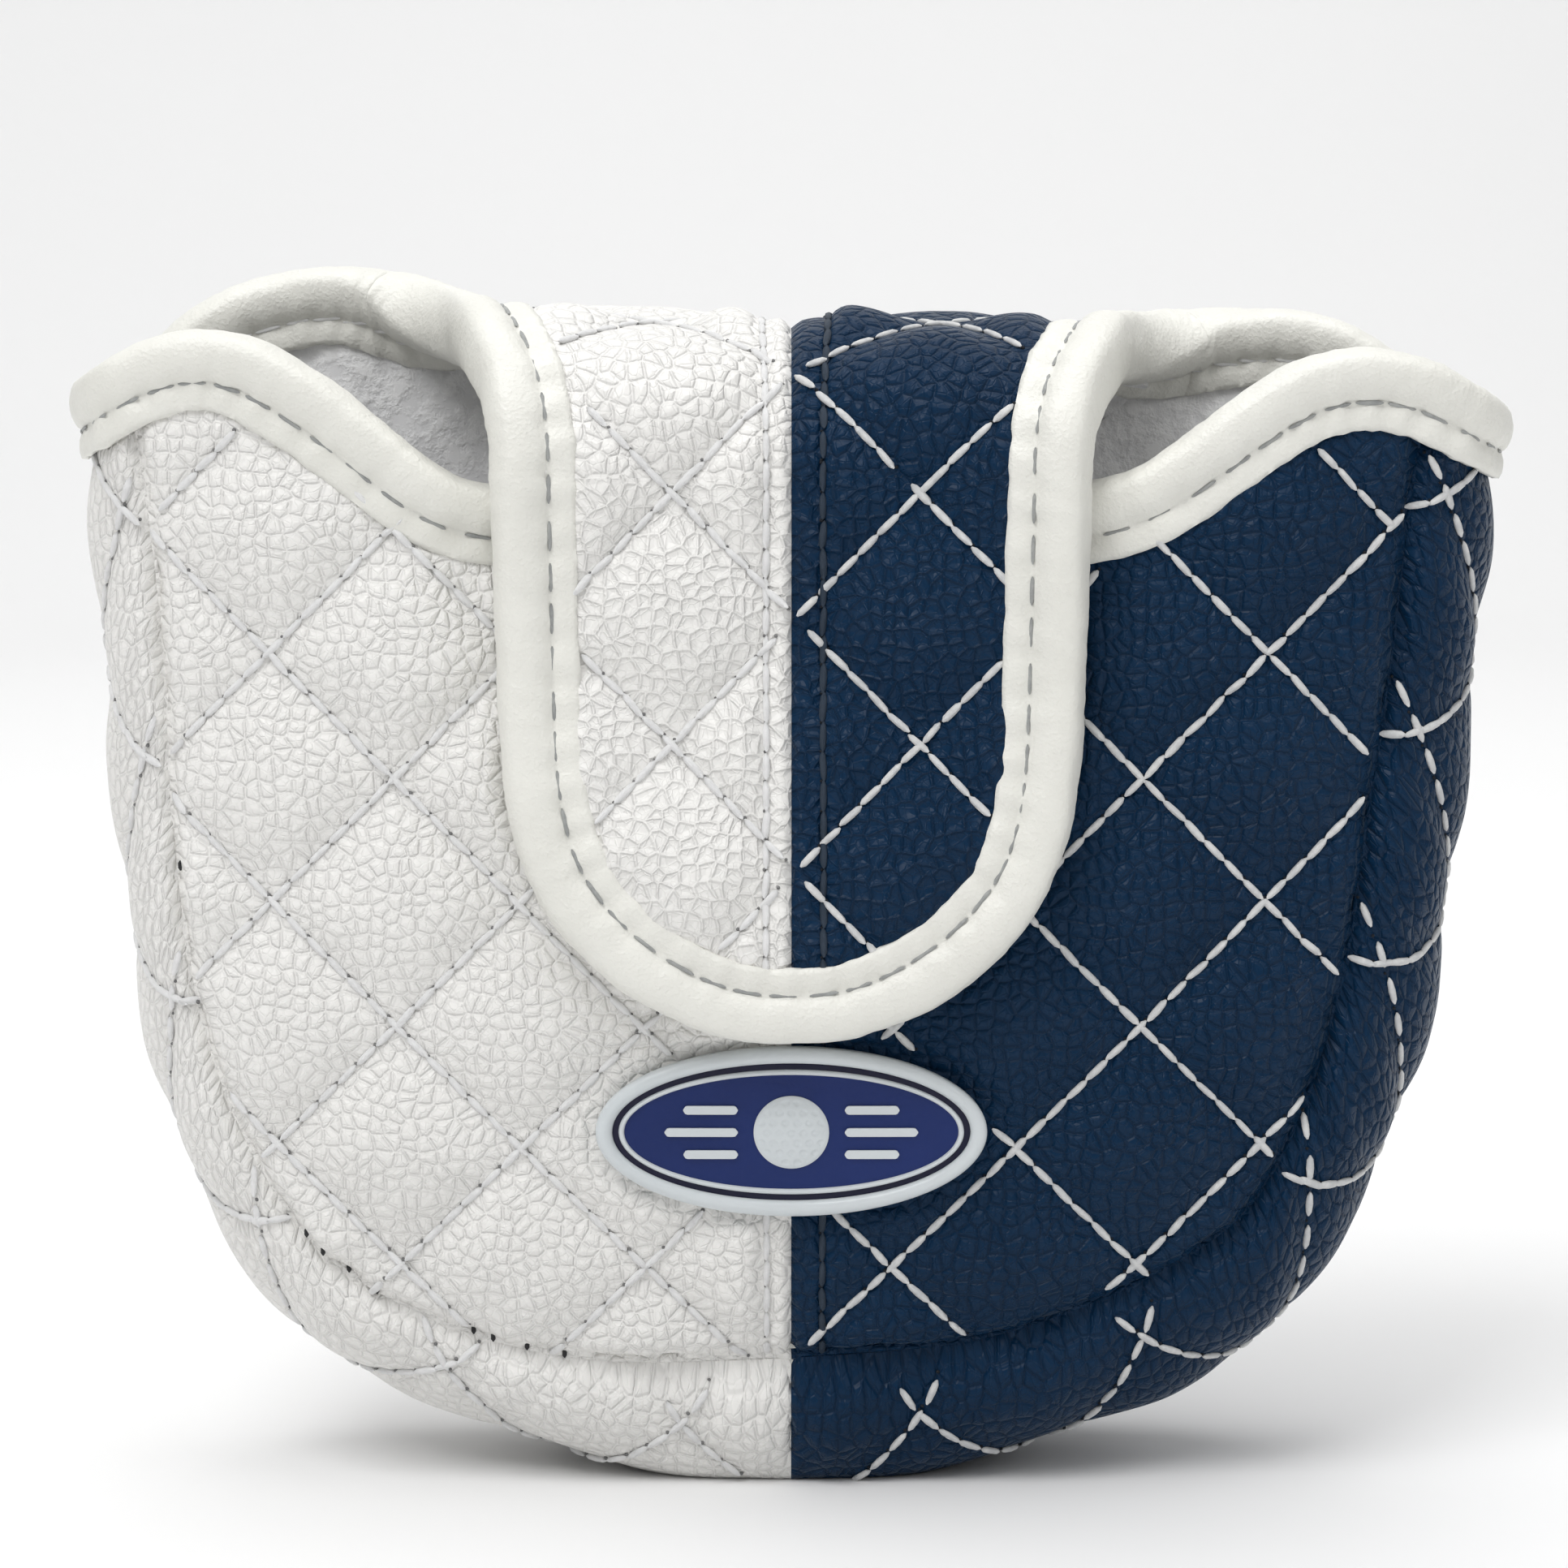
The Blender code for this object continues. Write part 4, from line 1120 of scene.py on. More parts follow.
def flap_outline(pouch: Pouch, side: int) -> Array:
    """Fabric edge of one half of the flap, from its root to the tip, as a dense curve."""
    shape = np.array([(1, 0), (0.993, 0.2), (0.985, 0.4), (0.965, 0.57), (0.90, 0.71),
                      (0.776, 0.81), (0.61, 0.89), (0.40, 0.955), (0.2, 0.99), (0, 1)])
    drop = pouch.flap_drop - pouch.binding_rise
    return smooth_curve(np.stack([side * pouch.flap_half * shape[:, 0],
                                  pouch.hinge_z - 0.2 - drop * shape[:, 1]], axis=1))


def flap_top(pouch: Pouch, side: int) -> Array:
    """Straight root of one half of the flap."""
    return np.linspace((side * pouch.flap_half, pouch.hinge_z - 0.2),
                       (0, pouch.hinge_z - 0.2), 50)


def blend_fold(obj: bpy.types.Object) -> None:
    """Bakes a fold piece's transform into its mesh; it is put on no body."""
    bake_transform(obj)


def carry(obj: bpy.types.Object, part: str) -> None:
    """Puts a piece of a part on the body it moves with; a fold piece is only baked in place."""
    if part.startswith("fold"):
        blend_fold(obj)
    else:
        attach(obj, "flap" if part == "flap" else "cover_body")


# ---------------------------------------------------------------- stitching
@dataclass
class Stitcher:
    """Lays thread in the quilting grooves and along the middle seam."""

    pouch: Pouch
    wardrobe: Wardrobe
    pitch: float = 2.7
    thread: tuple[float, float, float] = (2.78, 0.78, 0.66)
    # Size of the painted-shade bead in each needle hole.
    hole_shade: tuple[float, float, float] = (0.34, 0.40, 0.5)

    def frames(self, surface: Surface, a: Array, b: Array, way: Array) -> tuple[Array, Array]:
        """Places on the leather and axes (along the stitch, across it, out of the leather)."""
        before = surface.skin(a - 0.6 * way[:, 0], b - 0.6 * way[:, 1])
        after = surface.skin(a + 0.6 * way[:, 0], b + 0.6 * way[:, 1])
        along = unit(after - before)
        across = unit(np.cross(surface.normal(a, b), along))
        up = np.cross(along, across)
        return (before + after) / 2, np.stack([along, across, up], axis=1)

    def lay(self, name: str, surface: Surface, a: Array, b: Array, way: Array, navy: bool,
            seed: int, thread: Finish) -> list[bpy.types.Object]:
        """Threads and dark beads of painted shade in the needle holes between them, as two pieces.
        """
        rng = np.random.default_rng(seed)
        turn = rng.normal(0, 0.05, len(a))
        swing = np.stack([way[:, 0] * np.cos(turn) - way[:, 1] * np.sin(turn),
                          way[:, 0] * np.sin(turn) + way[:, 1] * np.cos(turn)], axis=1)
        places, axes = self.frames(surface, a, b, swing)
        places = places + axes[:, 2] * 0.24
        sizes = np.array(self.thread) * rng.normal(1, 0.05, (len(a), 3))
        threads = scatter(f"{name}_thread", bead(6, 5, 0.4), places, axes, sizes)
        self.wardrobe.dress(threads, thread)
        # Painted shade: a dark bead in each needle hole between the stitches.
        mid_a, mid_b = a + way[:, 0] * self.pitch / 2, b + way[:, 1] * self.pitch / 2
        places, axes = self.frames(surface, mid_a, mid_b, way)
        places = places + axes[:, 2] * 0.08 + axes[:, 1] * 0.16
        sizes = np.array(self.hole_shade) * rng.uniform(0.8, 1.15, (len(a), 1))
        holes = scatter(f"{name}_needle_hole_shade", bead(6, 4), places, axes, sizes)
        self.wardrobe.dress(holes, Finish.HOLE_SHADE_ON_NAVY if navy else Finish.HOLE_SHADE_ON_WHITE)
        return [threads, holes]

    def seam_rows(self, low: float, high: float, x: float) -> tuple[Array, Array, Array]:
        """A straight row of stitches beside the middle seam."""
        b = np.arange(low, high, self.pitch)
        return np.full_like(b, x), b, np.tile((0.0, 1.0), (len(b), 1))

    def build(self, faces: dict[str, Surface]) -> list[bpy.types.Object]:
        """All quilting and topstitching.

        Args:
            faces: the surfaces by name.

        Returns:
            The thread and hole pieces.
        """
        pouch, made = self.pouch, []
        boxes = {"front": ((-66, 10), (66, 112)), "back": ((-66, 10), (66, 118)),
                 "flap": ((-26, 44), (26, pouch.hinge_z)),
                 "fold": ((-26, pouch.hinge_z), (26, faces["tongue"].top)),
                 "gusset": ((-137, 0), (137, 33))}
        rows = {"front": (14.4, 90.0), "back": (13.8, 99.0), "flap": (53.4, pouch.hinge_z),
                "fold": (pouch.hinge_z, faces["tongue"].top)}
        for part, (low, high) in boxes.items():
            surface = faces["tongue" if part in ("flap", "fold") else part]
            a, b, way = surface.lattice.lines(low, high, self.pitch)
            keep = self.allowed(part, surface, a, b)
            a, b, way = a[keep], b[keep], way[keep]
            for side, colour in ((Side.LEFT, "white"), (Side.RIGHT, "navy")):
                navy = side is Side.RIGHT
                mine = (a * side.value) > 0
                batch = [(f"{part}_{colour}_quilting", a[mine], b[mine], way[mine],
                          Finish.THREAD_PALE if navy else Finish.THREAD_WHITE)]
                if part in rows:
                    row = self.seam_rows(*rows[part], RIGHT_ROW if navy else LEFT_ROW)
                    if part == "front":
                        clear = badge_share(row[0], row[1]) > 1.03
                        row = tuple(r[clear] for r in row)
                    batch.append((f"{part}_{colour}_topstitch", *row,
                                  Finish.THREAD_NAVY if navy else Finish.THREAD_WHITE))
                for name, *spots, thread in batch:
                    pieces = self.lay(name, surface, *spots, navy, len(made) + 5, thread)
                    for obj in pieces:
                        carry(obj, part)
                    made += pieces
        return made

    def allowed(self, part: str, surface: Surface, a: Array, b: Array) -> Array:
        """Where quilting may run: clear of seams, bindings, badge and the middle seam."""
        pouch = self.pouch
        clear = np.abs(a) > 0.9
        if part == "front":
            clear &= pouch.seam_gap(pouch.front_seam, a, b) > SEAM_MARGIN
            clear &= surface.mouth_gap(a, b) > STITCH_MARGIN
            return clear & (badge_share(a, b) > 1.06)
        if part == "back":
            mouth = surface.mouth_gap(a, b)
            joined = (np.abs(a) < 32.5) & (mouth > 1.5)
            clear &= pouch.seam_gap(pouch.back_seam, a, b) > SEAM_MARGIN
            clear &= (mouth > STITCH_MARGIN) | joined
            return clear & ((b < 99) | (np.abs(a) > 27.5))
        if part == "flap":
            return clear & (pouch.flap_gap(a, b) > 5.2)
        if part == "fold":
            reach = np.where(b > surface.top - 17, 27, pouch.flap_half - 5.9)
            return clear & (np.abs(a) < reach)
        low = surface.base(a, b)[:, 2] > 0.5
        return (b > 0.6) & (b < 32.4) & (np.abs(a) < 131.2) & (np.abs(a) > 2.5) & low


# ---------------------------------------------------------------- bound edges
@dataclass
class BoundEdge:
    """Rolled binding sewn round the mouth, the fold's sides and the flap in one loop."""

    pouch: Pouch
    wardrobe: Wardrobe
    step: float = 0.55
    stitch: float = 4.0
    corner: int = 8
    outer: tuple = ((-5.6, .15), (-5.5, -.45), (-4.6, -.55), (-3.5, -.45), (-3.0, -.1),
                    (-2.4, -.75), (-1.2, -1.25), (.2, -1.25), (1.3, -.8), (1.9, .6), (2.1, 2.3),
                    (1.9, 4.0), (1.3, 5.4), (.2, 5.85), (-1.2, 5.85), (-2.4, 5.35), (-3.0, 4.7),
                    (-3.5, 5.05), (-4.6, 5.15), (-5.5, 5.05), (-5.6, 4.45))
    inner: tuple = ((-5.3, .3), (-3.0, .35), (-0.6, .35), (0.2, .8), (0.4, 2.3), (0.2, 3.8),
                    (-0.6, 4.25), (-3.0, 4.25), (-5.3, 4.3))

    def loop(self, faces: dict[str, Surface]) -> tuple[Array, Array, list[int]]:
        """The whole edge as one closed run of points and outward normals.

        Returns:
            Points, normals, and the numbers of the rings where it passes from one body to
            the next.
        """
        pouch = self.pouch
        front, back, band, tongue = (faces[k] for k in ("front", "back", "gusset", "tongue"))

        def on(surface: Surface, a: Array, b: Array) -> Array:
            """Points and normals side by side."""
            return np.concatenate([surface.base(a, b), surface.normal(a, b)], axis=-1)

        def hump(s: int) -> Array:
            """From the outer end of a hump to where it turns in to the fold."""
            edge = pouch.back_edge[s]
            edge = edge[(np.abs(edge[:, 0]) > 38.8)]
            return on(back, edge[:, 0], edge[:, 1])

        def turn_in(s: int) -> Array:
            """The turn from the hump's inner end to the side of the fold."""
            tops = {-1: (116.7, 116.1, 115.5, 115.1), 1: (112.9, 112.9, 113.0, 113.3)}[s]
            spots = np.array([(37.2, 16.2, tops[0]), (34.9, 13.4, tops[1]), (33.3, 9.2, tops[2]),
                              (32.3, 4.0, tops[3])]) * (s, 1, 1)
            ways = np.array([(-0.25 * s, 0.9, 0.35), (-0.4 * s, 0.7, 0.6), (-0.35 * s, 0.45, 0.8),
                             (-0.2 * s, 0.2, 0.95)])
            return np.concatenate([spots, ways], axis=1)

        def fold(s: int) -> Array:
            """The side of the fold, from the back to the hinge."""
            length = np.linspace(tongue.top, pouch.hinge_z, 120)[56:]
            return on(tongue, np.full_like(length, s * pouch.flap_half), length)

        def flap(s: int) -> Array:
            """The flap's edge from the root to the tip."""
            line = flap_outline(pouch, s)
            return on(tongue, line[:, 0], line[:, 1])

        def gusset(s: int) -> Array:
            """Across the gusset's mouth, front to back."""
            b = np.linspace(0, band.width, 80)
            return on(band, np.full_like(b, s * band.run), b)

        mouth_edge = np.vstack([pouch.front_edge[-1], pouch.front_edge[1][::-1]])
        runs = [hump(-1)[::-1], gusset(-1)[::-1], on(front, mouth_edge[:, 0], mouth_edge[:, 1]),
                gusset(1), hump(1)]
        mouth = np.concatenate(runs)
        right = np.concatenate([turn_in(1), fold(1)])
        tip = np.concatenate([flap(1), flap(-1)[::-1]])
        left = np.concatenate([fold(-1)[::-1], turn_in(-1)[::-1]])
        every = np.concatenate([mouth, right, tip, left, mouth[:1]])
        moved = np.linalg.norm(np.diff(every[:, :3], axis=0), axis=1) > 1e-4
        ends = np.cumsum([len(mouth), len(right), len(tip)])
        along = lengths(every[:, :3])
        marks = along[ends]
        keep = np.concatenate([[True], moved])
        along, every = along[keep], every[keep]
        count = int(along[-1] / self.step)
        want = np.linspace(0, along[-1], count, endpoint=False)
        even = np.stack([np.interp(want, along, every[:, k]) for k in range(6)], axis=1)
        rings = [int(round(m / along[-1] * count)) for m in marks]
        number = np.arange(count)
        corners = np.array([self.corner, rings[0] + self.corner, count - self.corner])
        away = (number[:, None] - corners[None] + count / 2) % count - count / 2
        away = np.abs(away).min(axis=1)
        soft = smoothstep(1.6 - away / 26)[:, None]
        even = (1 - soft) * blurred(even, 3.2, closed=True) + soft * blurred(even, 13, closed=True)
        return even[:, :3], unit(even[:, 3:]), rings

    def frames(self, faces: dict[str, Surface]) -> tuple[Array, Array, Array, Array, list[int]]:
        """Points, tangents, edge-ward and outward directions of the loop, and the marks."""
        points, normals, marks = self.loop(faces)
        tangents = unit(np.roll(points, -1, axis=0) - np.roll(points, 1, axis=0))
        edge = unit(np.cross(normals, tangents))
        edge = unit(blurred(edge, 5.0, closed=True))
        return points, tangents, edge, unit(np.cross(tangents, edge)), marks

    def sections(self, count: int, bend: Array) -> Array:
        """Section of every ring: (rings, points, 2), wrinkled along the run.

        The outer line is pulled in a little at each stitch and swells between, soft waves run
        across it, and both grow where the edge bends.
        """
        half = 40
        outer = evenly(smooth_curve(self.outer, 8), half - 1)
        inner = evenly(smooth_curve(self.inner, 8), half - 1)[::-1]
        along = np.arange(count)[:, None] * self.step
        place = np.linspace(0, 34, half)[None]
        out = unit(np.stack([-np.gradient(outer[:, 1]), np.gradient(outer[:, 0])], axis=1))
        middle = outer.mean(axis=0)
        out = out * np.sign(((outer - middle) * out).sum(axis=1, keepdims=True) + 1e-9)
        leg = np.exp(-((outer[:, 0] + 3.6) / 1.8) ** 2)[None]
        size = 1 + 5.0 * bend[:, None]
        period = (count * self.step) / max(1, round(count * self.step / self.stitch))
        wave = 0.13 * leg * np.cos(2 * np.pi * along / period) * size
        wave = wave + 0.10 * drift(along, place * 0.5, 91, 6.0) * size
        wave = wave + 0.05 * drift(along, place, 93, 2.2)
        line = outer[None] + out[None] * wave[..., None]
        back = np.broadcast_to(inner[None], (count, half, 2))
        return np.concatenate([line, back], axis=1)

    def tube(self, name: str, rings: Array) -> bpy.types.Object:
        """A closed body from rings."""
        points = rings.reshape(-1, 3)
        obj = make_mesh(name, points, outward(points, tube_quads(*rings.shape[:2])))
        obj.data.set_sharp_from_angle(angle=math.radians(75))
        return obj

    def build(self, faces: dict[str, Surface]) -> list[bpy.types.Object]:
        """The four lengths of binding and their stitching.

        Args:
            faces: the surfaces by name.

        Returns:
            The binding and thread pieces.
        """
        points, tangents, edge, out, marks = self.frames(faces)
        count = len(points)
        bend = np.linalg.norm(np.roll(tangents, -4, 0) - np.roll(tangents, 4, 0), axis=1)
        bend = blurred((bend / (8 * self.step))[:, None], 4, closed=True)[:, 0]
        section = self.sections(count, np.minimum(bend, 0.25))
        rings = (points[:, None] + edge[:, None] * section[..., :1]
                 - out[:, None] * section[..., 1:])
        cuts = [("mouth", 0, marks[0], "mouth_binding"),
                ("fold_right", marks[0], marks[1], "fold_binding_right"),
                ("flap", marks[1], marks[2], "flap_binding"),
                ("fold_left", marks[2], count, "fold_binding_left")]
        made = []
        for name, first, last, node in cuts:
            order = np.arange(first, last + 1) % count
            strip = self.tube(f"{name}_bound_edge", rings[order])
            self.wardrobe.dress(strip, Finish.BINDING)
            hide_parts(node)
            threads = self.threads(name, order[:-1], points, tangents, edge, out)
            for obj in (strip, *threads):
                carry(obj, name)
                made.append(obj)
            log.info("%s: %d rings", strip.name, len(order))
        return made

    def threads(self, name: str, order: Array, points: Array, tangents: Array, edge: Array,
                out: Array) -> list[bpy.types.Object]:
        """Stitches in the groove, on the outer and the inner face."""
        count = len(points)
        period = count / max(1, round(count * self.step / self.stitch))
        every = np.round(np.arange(0, count - period / 2, period)).astype(int)
        mine = np.intersect1d(every, order)
        axes = np.stack([tangents[mine], edge[mine], out[mine]], axis=1)
        rng = np.random.default_rng(len(mine))
        made = []
        for face, depth in (("outer", -0.27), ("inner", 4.85)):
            spots = points[mine] - 3.0 * edge[mine] - depth * out[mine]
            sizes = np.array((2.75, 0.46, 0.40)) * rng.normal(1, 0.06, (len(mine), 3))
            obj = scatter(f"{name}_edge_{face}_stitches", bead(8, 6, 0.5), spots, axes, sizes)
            shown = face == "outer"
            self.wardrobe.dress(obj, Finish.THREAD_GREY if shown else Finish.THREAD_WHITE)
            made.append(obj)
        return made


# ---------------------------------------------------------------- inside
def whole_panel(edges: dict, seams: dict, columns: int, rows: int) -> Array:
    """Both halves of a U-shaped panel as one grid from left to right."""
    left = half_panel(edges[-1], seams[-1], columns, rows)
    right = half_panel(edges[1], seams[1], columns, rows)[::-1]
    return np.concatenate([left, right[1:]])


@dataclass
class Inside:
    """Plush lining in the pocket, under the flap and round the fold, and the fold's foam."""

    pouch: Pouch
    wardrobe: Wardrobe
    start: float = 3.75

    def plush(self, name: str, surface: Surface, grid: Array, node: str) -> bpy.types.Object:
        """A napped layer at the inner face of a wall."""
        a, b = grid[..., 0], grid[..., 1]
        nap = 0.22 * drift(a, b, 101, 7) + 0.10 * drift(a, b, 103, 2.5)
        inner = surface.at(a, b, -(self.pouch.wall - 0.15 + nap))
        outer = surface.at(a, b, -self.start)
        obj = shell(name, outer, inner, grid)
        self.wardrobe.dress(obj, Finish.LINING)
        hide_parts(node)
        return obj

    def build(self, faces: dict[str, Surface]) -> list[bpy.types.Object]:
        """Five linings and the fold's foam.

        Args:
            faces: the surfaces by name.

        Returns:
            The pieces.
        """
        pouch = self.pouch
        band, tongue = faces["gusset"], faces["tongue"]
        front = self.plush("front_plush", faces["front"], self.inset(
            whole_panel(pouch.front_edge, pouch.front_seam, 44, 50)), "front_lining")
        back = self.plush("back_plush", faces["back"], self.inset(
            whole_panel(pouch.back_edge, pouch.back_seam, 50, 50)), "back_lining")
        a = np.linspace(-band.run + 0.8, band.run - 0.8, 190)
        b = np.linspace(3.6, band.width - 3.6, 24)
        gusset = self.plush("gusset_plush", band, np.stack(np.meshgrid(a, b, indexing="ij"), -1),
                            "gusset_lining")
        tops = {s: flap_top(pouch, s) for s in (-1, 1)}
        edges = {s: flap_outline(pouch, s) for s in (-1, 1)}
        flap = self.plush("flap_plush", tongue, whole_panel(tops, edges, 26, 50), "flap_lining")
        for obj in (front, back, gusset):
            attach(obj, "cover_body")
        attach(flap, "flap")
        x = np.linspace(-pouch.flap_half, pouch.flap_half, 45)
        angle = np.linspace(-0.01, math.pi * 0.995, 50)
        x, angle = np.meshgrid(x, angle, indexing="ij")
        uv = np.stack([x, angle * 15], axis=-1)
        nap = 0.18 * drift(x, angle * 15, 105, 7)
        fold = shell("fold_plush", tongue.fold(x, angle, self.start),
                     tongue.fold(x, angle, pouch.wall - 0.15 + nap), uv)
        self.wardrobe.dress(fold, Finish.LINING)
        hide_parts("fold_lining")
        foam = shell("fold_foam", tongue.fold(x, angle, 1.35), tongue.fold(x, angle, 3.3), uv)
        self.wardrobe.dress(foam, Finish.FOAM)
        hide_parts("fold_padding")
        for obj in (fold, foam):
            blend_fold(obj)
        return [front, back, gusset, flap, fold, foam]

    @staticmethod
    def inset(grid: Array) -> Array:
        """A panel's grid drawn in a little towards its middle so the corners of the lining
        meet without crossing."""
        middle = np.array((0.0, 66.0))
        return middle + (grid - middle) * (0.955, 0.975)


# ---------------------------------------------------------------- badge
@dataclass
class Badge:
    """Moulded oval badge with a plain golf-ball motif."""

    pouch: Pouch
    wardrobe: Wardrobe
    half_width: float = BADGE_HALF[0]
    half_height: float = BADGE_HALF[1]
    centre_z: float = BADGE_Z
    rim: tuple = ((0.5, 0.25), (0.05, 0.6), (0.0, 1.75), (0.3, 2.15), (0.8, 2.3), (1.3, 2.15),
                  (1.6, 1.75), (1.65, 0.25))
    groove: tuple = ((1.6, 0.3), (1.6, 1.55), (2.25, 1.55), (2.25, 0.3))
    line: tuple = ((2.2, 0.3), (2.2, 1.6), (2.35, 1.78), (2.6, 1.78), (2.75, 1.6), (2.75, 0.3))

    def on_front(self, x: Array, z: Array, height: Array | float) -> Array:
        """A point at a height in front of the pouch's front face."""
        z = z + self.centre_z
        y = self.pouch.front_y(np.zeros_like(x), z) * 0.35 + self.pouch.front_y(x, z) * 0.65
        return np.stack([x, y - height, z], axis=-1)

    def finish(self, obj: bpy.types.Object, finish: Finish) -> bpy.types.Object:
        """Finish and body of a piece of the badge."""
        self.wardrobe.dress(obj, finish)
        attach(obj, "cover_body")
        return obj

    def ring(self, name: str, section: tuple, finish: Finish) -> bpy.types.Object:
        """A section (distance in from the edge, height) carried round the oval."""
        line = np.array(section, float)
        line = evenly(np.vstack([line, line[:1]]), 28)[:-1]
        angle = np.linspace(0, 2 * np.pi, 180, endpoint=False)[:, None]
        x = (self.half_width - line[None, :, 0]) * np.cos(angle)
        z = (self.half_height - line[None, :, 0]) * np.sin(angle)
        points = self.on_front(x, z, np.broadcast_to(line[None, :, 1], x.shape))
        points = points.reshape(-1, 3)
        quads = grid_quads(*x.shape, wrap=True, loop=True)
        obj = make_mesh(name, points, outward(points, quads))
        obj.data.set_sharp_from_angle(angle=math.radians(50))
        return self.finish(obj, finish)

    def slab(self, name: str, shape: tuple[Array, Array], low: float, crown: Array,
             finish: Finish) -> bpy.types.Object:
        """A closed piece over a grid in the badge's plane, from a flat back to a crowned top."""
        x, z = shape
        top = self.on_front(x, z, crown)
        bottom = self.on_front(x, z, np.full_like(x, low))
        obj = shell(name, top, bottom, np.stack([x, z], axis=-1))
        return self.finish(obj, finish)

    @staticmethod
    def disc(half_x: float, half_z: float, count: int = 60) -> tuple[Array, Array]:
        """A square grid pressed into an oval: x = u sqrt(1 - v^2/2), z = v sqrt(1 - u^2/2)."""
        u, v = np.meshgrid(np.linspace(-1, 1, count), np.linspace(-1, 1, count), indexing="ij")
        return half_x * u * np.sqrt(1 - v ** 2 / 2), half_z * v * np.sqrt(1 - u ** 2 / 2)

    def bar(self, x0: float, x1: float, z: float, half: float) -> tuple[Array, Array]:
        """A short level bar with rounded ends."""
        u, v = np.meshgrid(np.linspace(-1, 1, 30), np.linspace(-1, 1, 8), indexing="ij")
        middle, reach = (x0 + x1) / 2, (x1 - x0) / 2
        ends = np.clip((np.abs(u) * reach - (reach - half)) / half, 0, 1)
        return middle + u * reach, z + v * half * np.sqrt(np.maximum(1 - ends ** 2, 0.02))

    def build(self) -> list[bpy.types.Object]:
        """Rim, dark groove, thin line, field, ball and bars."""
        rim = self.ring("badge_rim", self.rim, Finish.BADGE_PALE)
        made = [rim, self.ring("badge_groove", self.groove, Finish.BADGE_DARK),
                self.ring("badge_line", self.line, Finish.BADGE_PALE)]
        x, z = self.disc(self.half_width - 2.7, self.half_height - 2.7, 90)
        made.append(self.slab("badge_field", (x, z), 0.3, np.full_like(x, 1.5), Finish.BADGE_BLUE))
        ball_x, ball_z = self.disc(3.6, 3.6, 90)
        radius = np.hypot(ball_x, ball_z) / 3.6
        dome = 1.45 + 0.75 * np.sqrt(np.maximum(1 - (radius * 0.97) ** 2, 0))
        u, v = ball_x / 1.15, ball_z / 1.0
        odd = np.round(v) % 2
        dent = np.hypot((u - odd / 2) - np.round(u - odd / 2), v - np.round(v))
        dome = dome - 0.12 * smoothstep((0.42 - dent) / 0.25) * smoothstep((0.93 - radius) / 0.1)
        made.append(self.slab("badge_ball", (ball_x, ball_z), 1.3, dome, Finish.BADGE_PALE))
        number = 0
        for side in (-1, 1):
            for z0, reach in ((2.2, 5.2), (0.0, 7.0), (-2.2, 5.2)):
                number += 1
                x0, x1 = sorted((side * 5.1, side * (5.1 + reach)))
                shape = self.bar(x0, x1, z0, 0.42)
                made.append(self.slab(f"badge_bar_{number}", shape, 1.3,
                                      np.full_like(shape[0], 1.75), Finish.BADGE_PALE))
        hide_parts("badge")
        return made


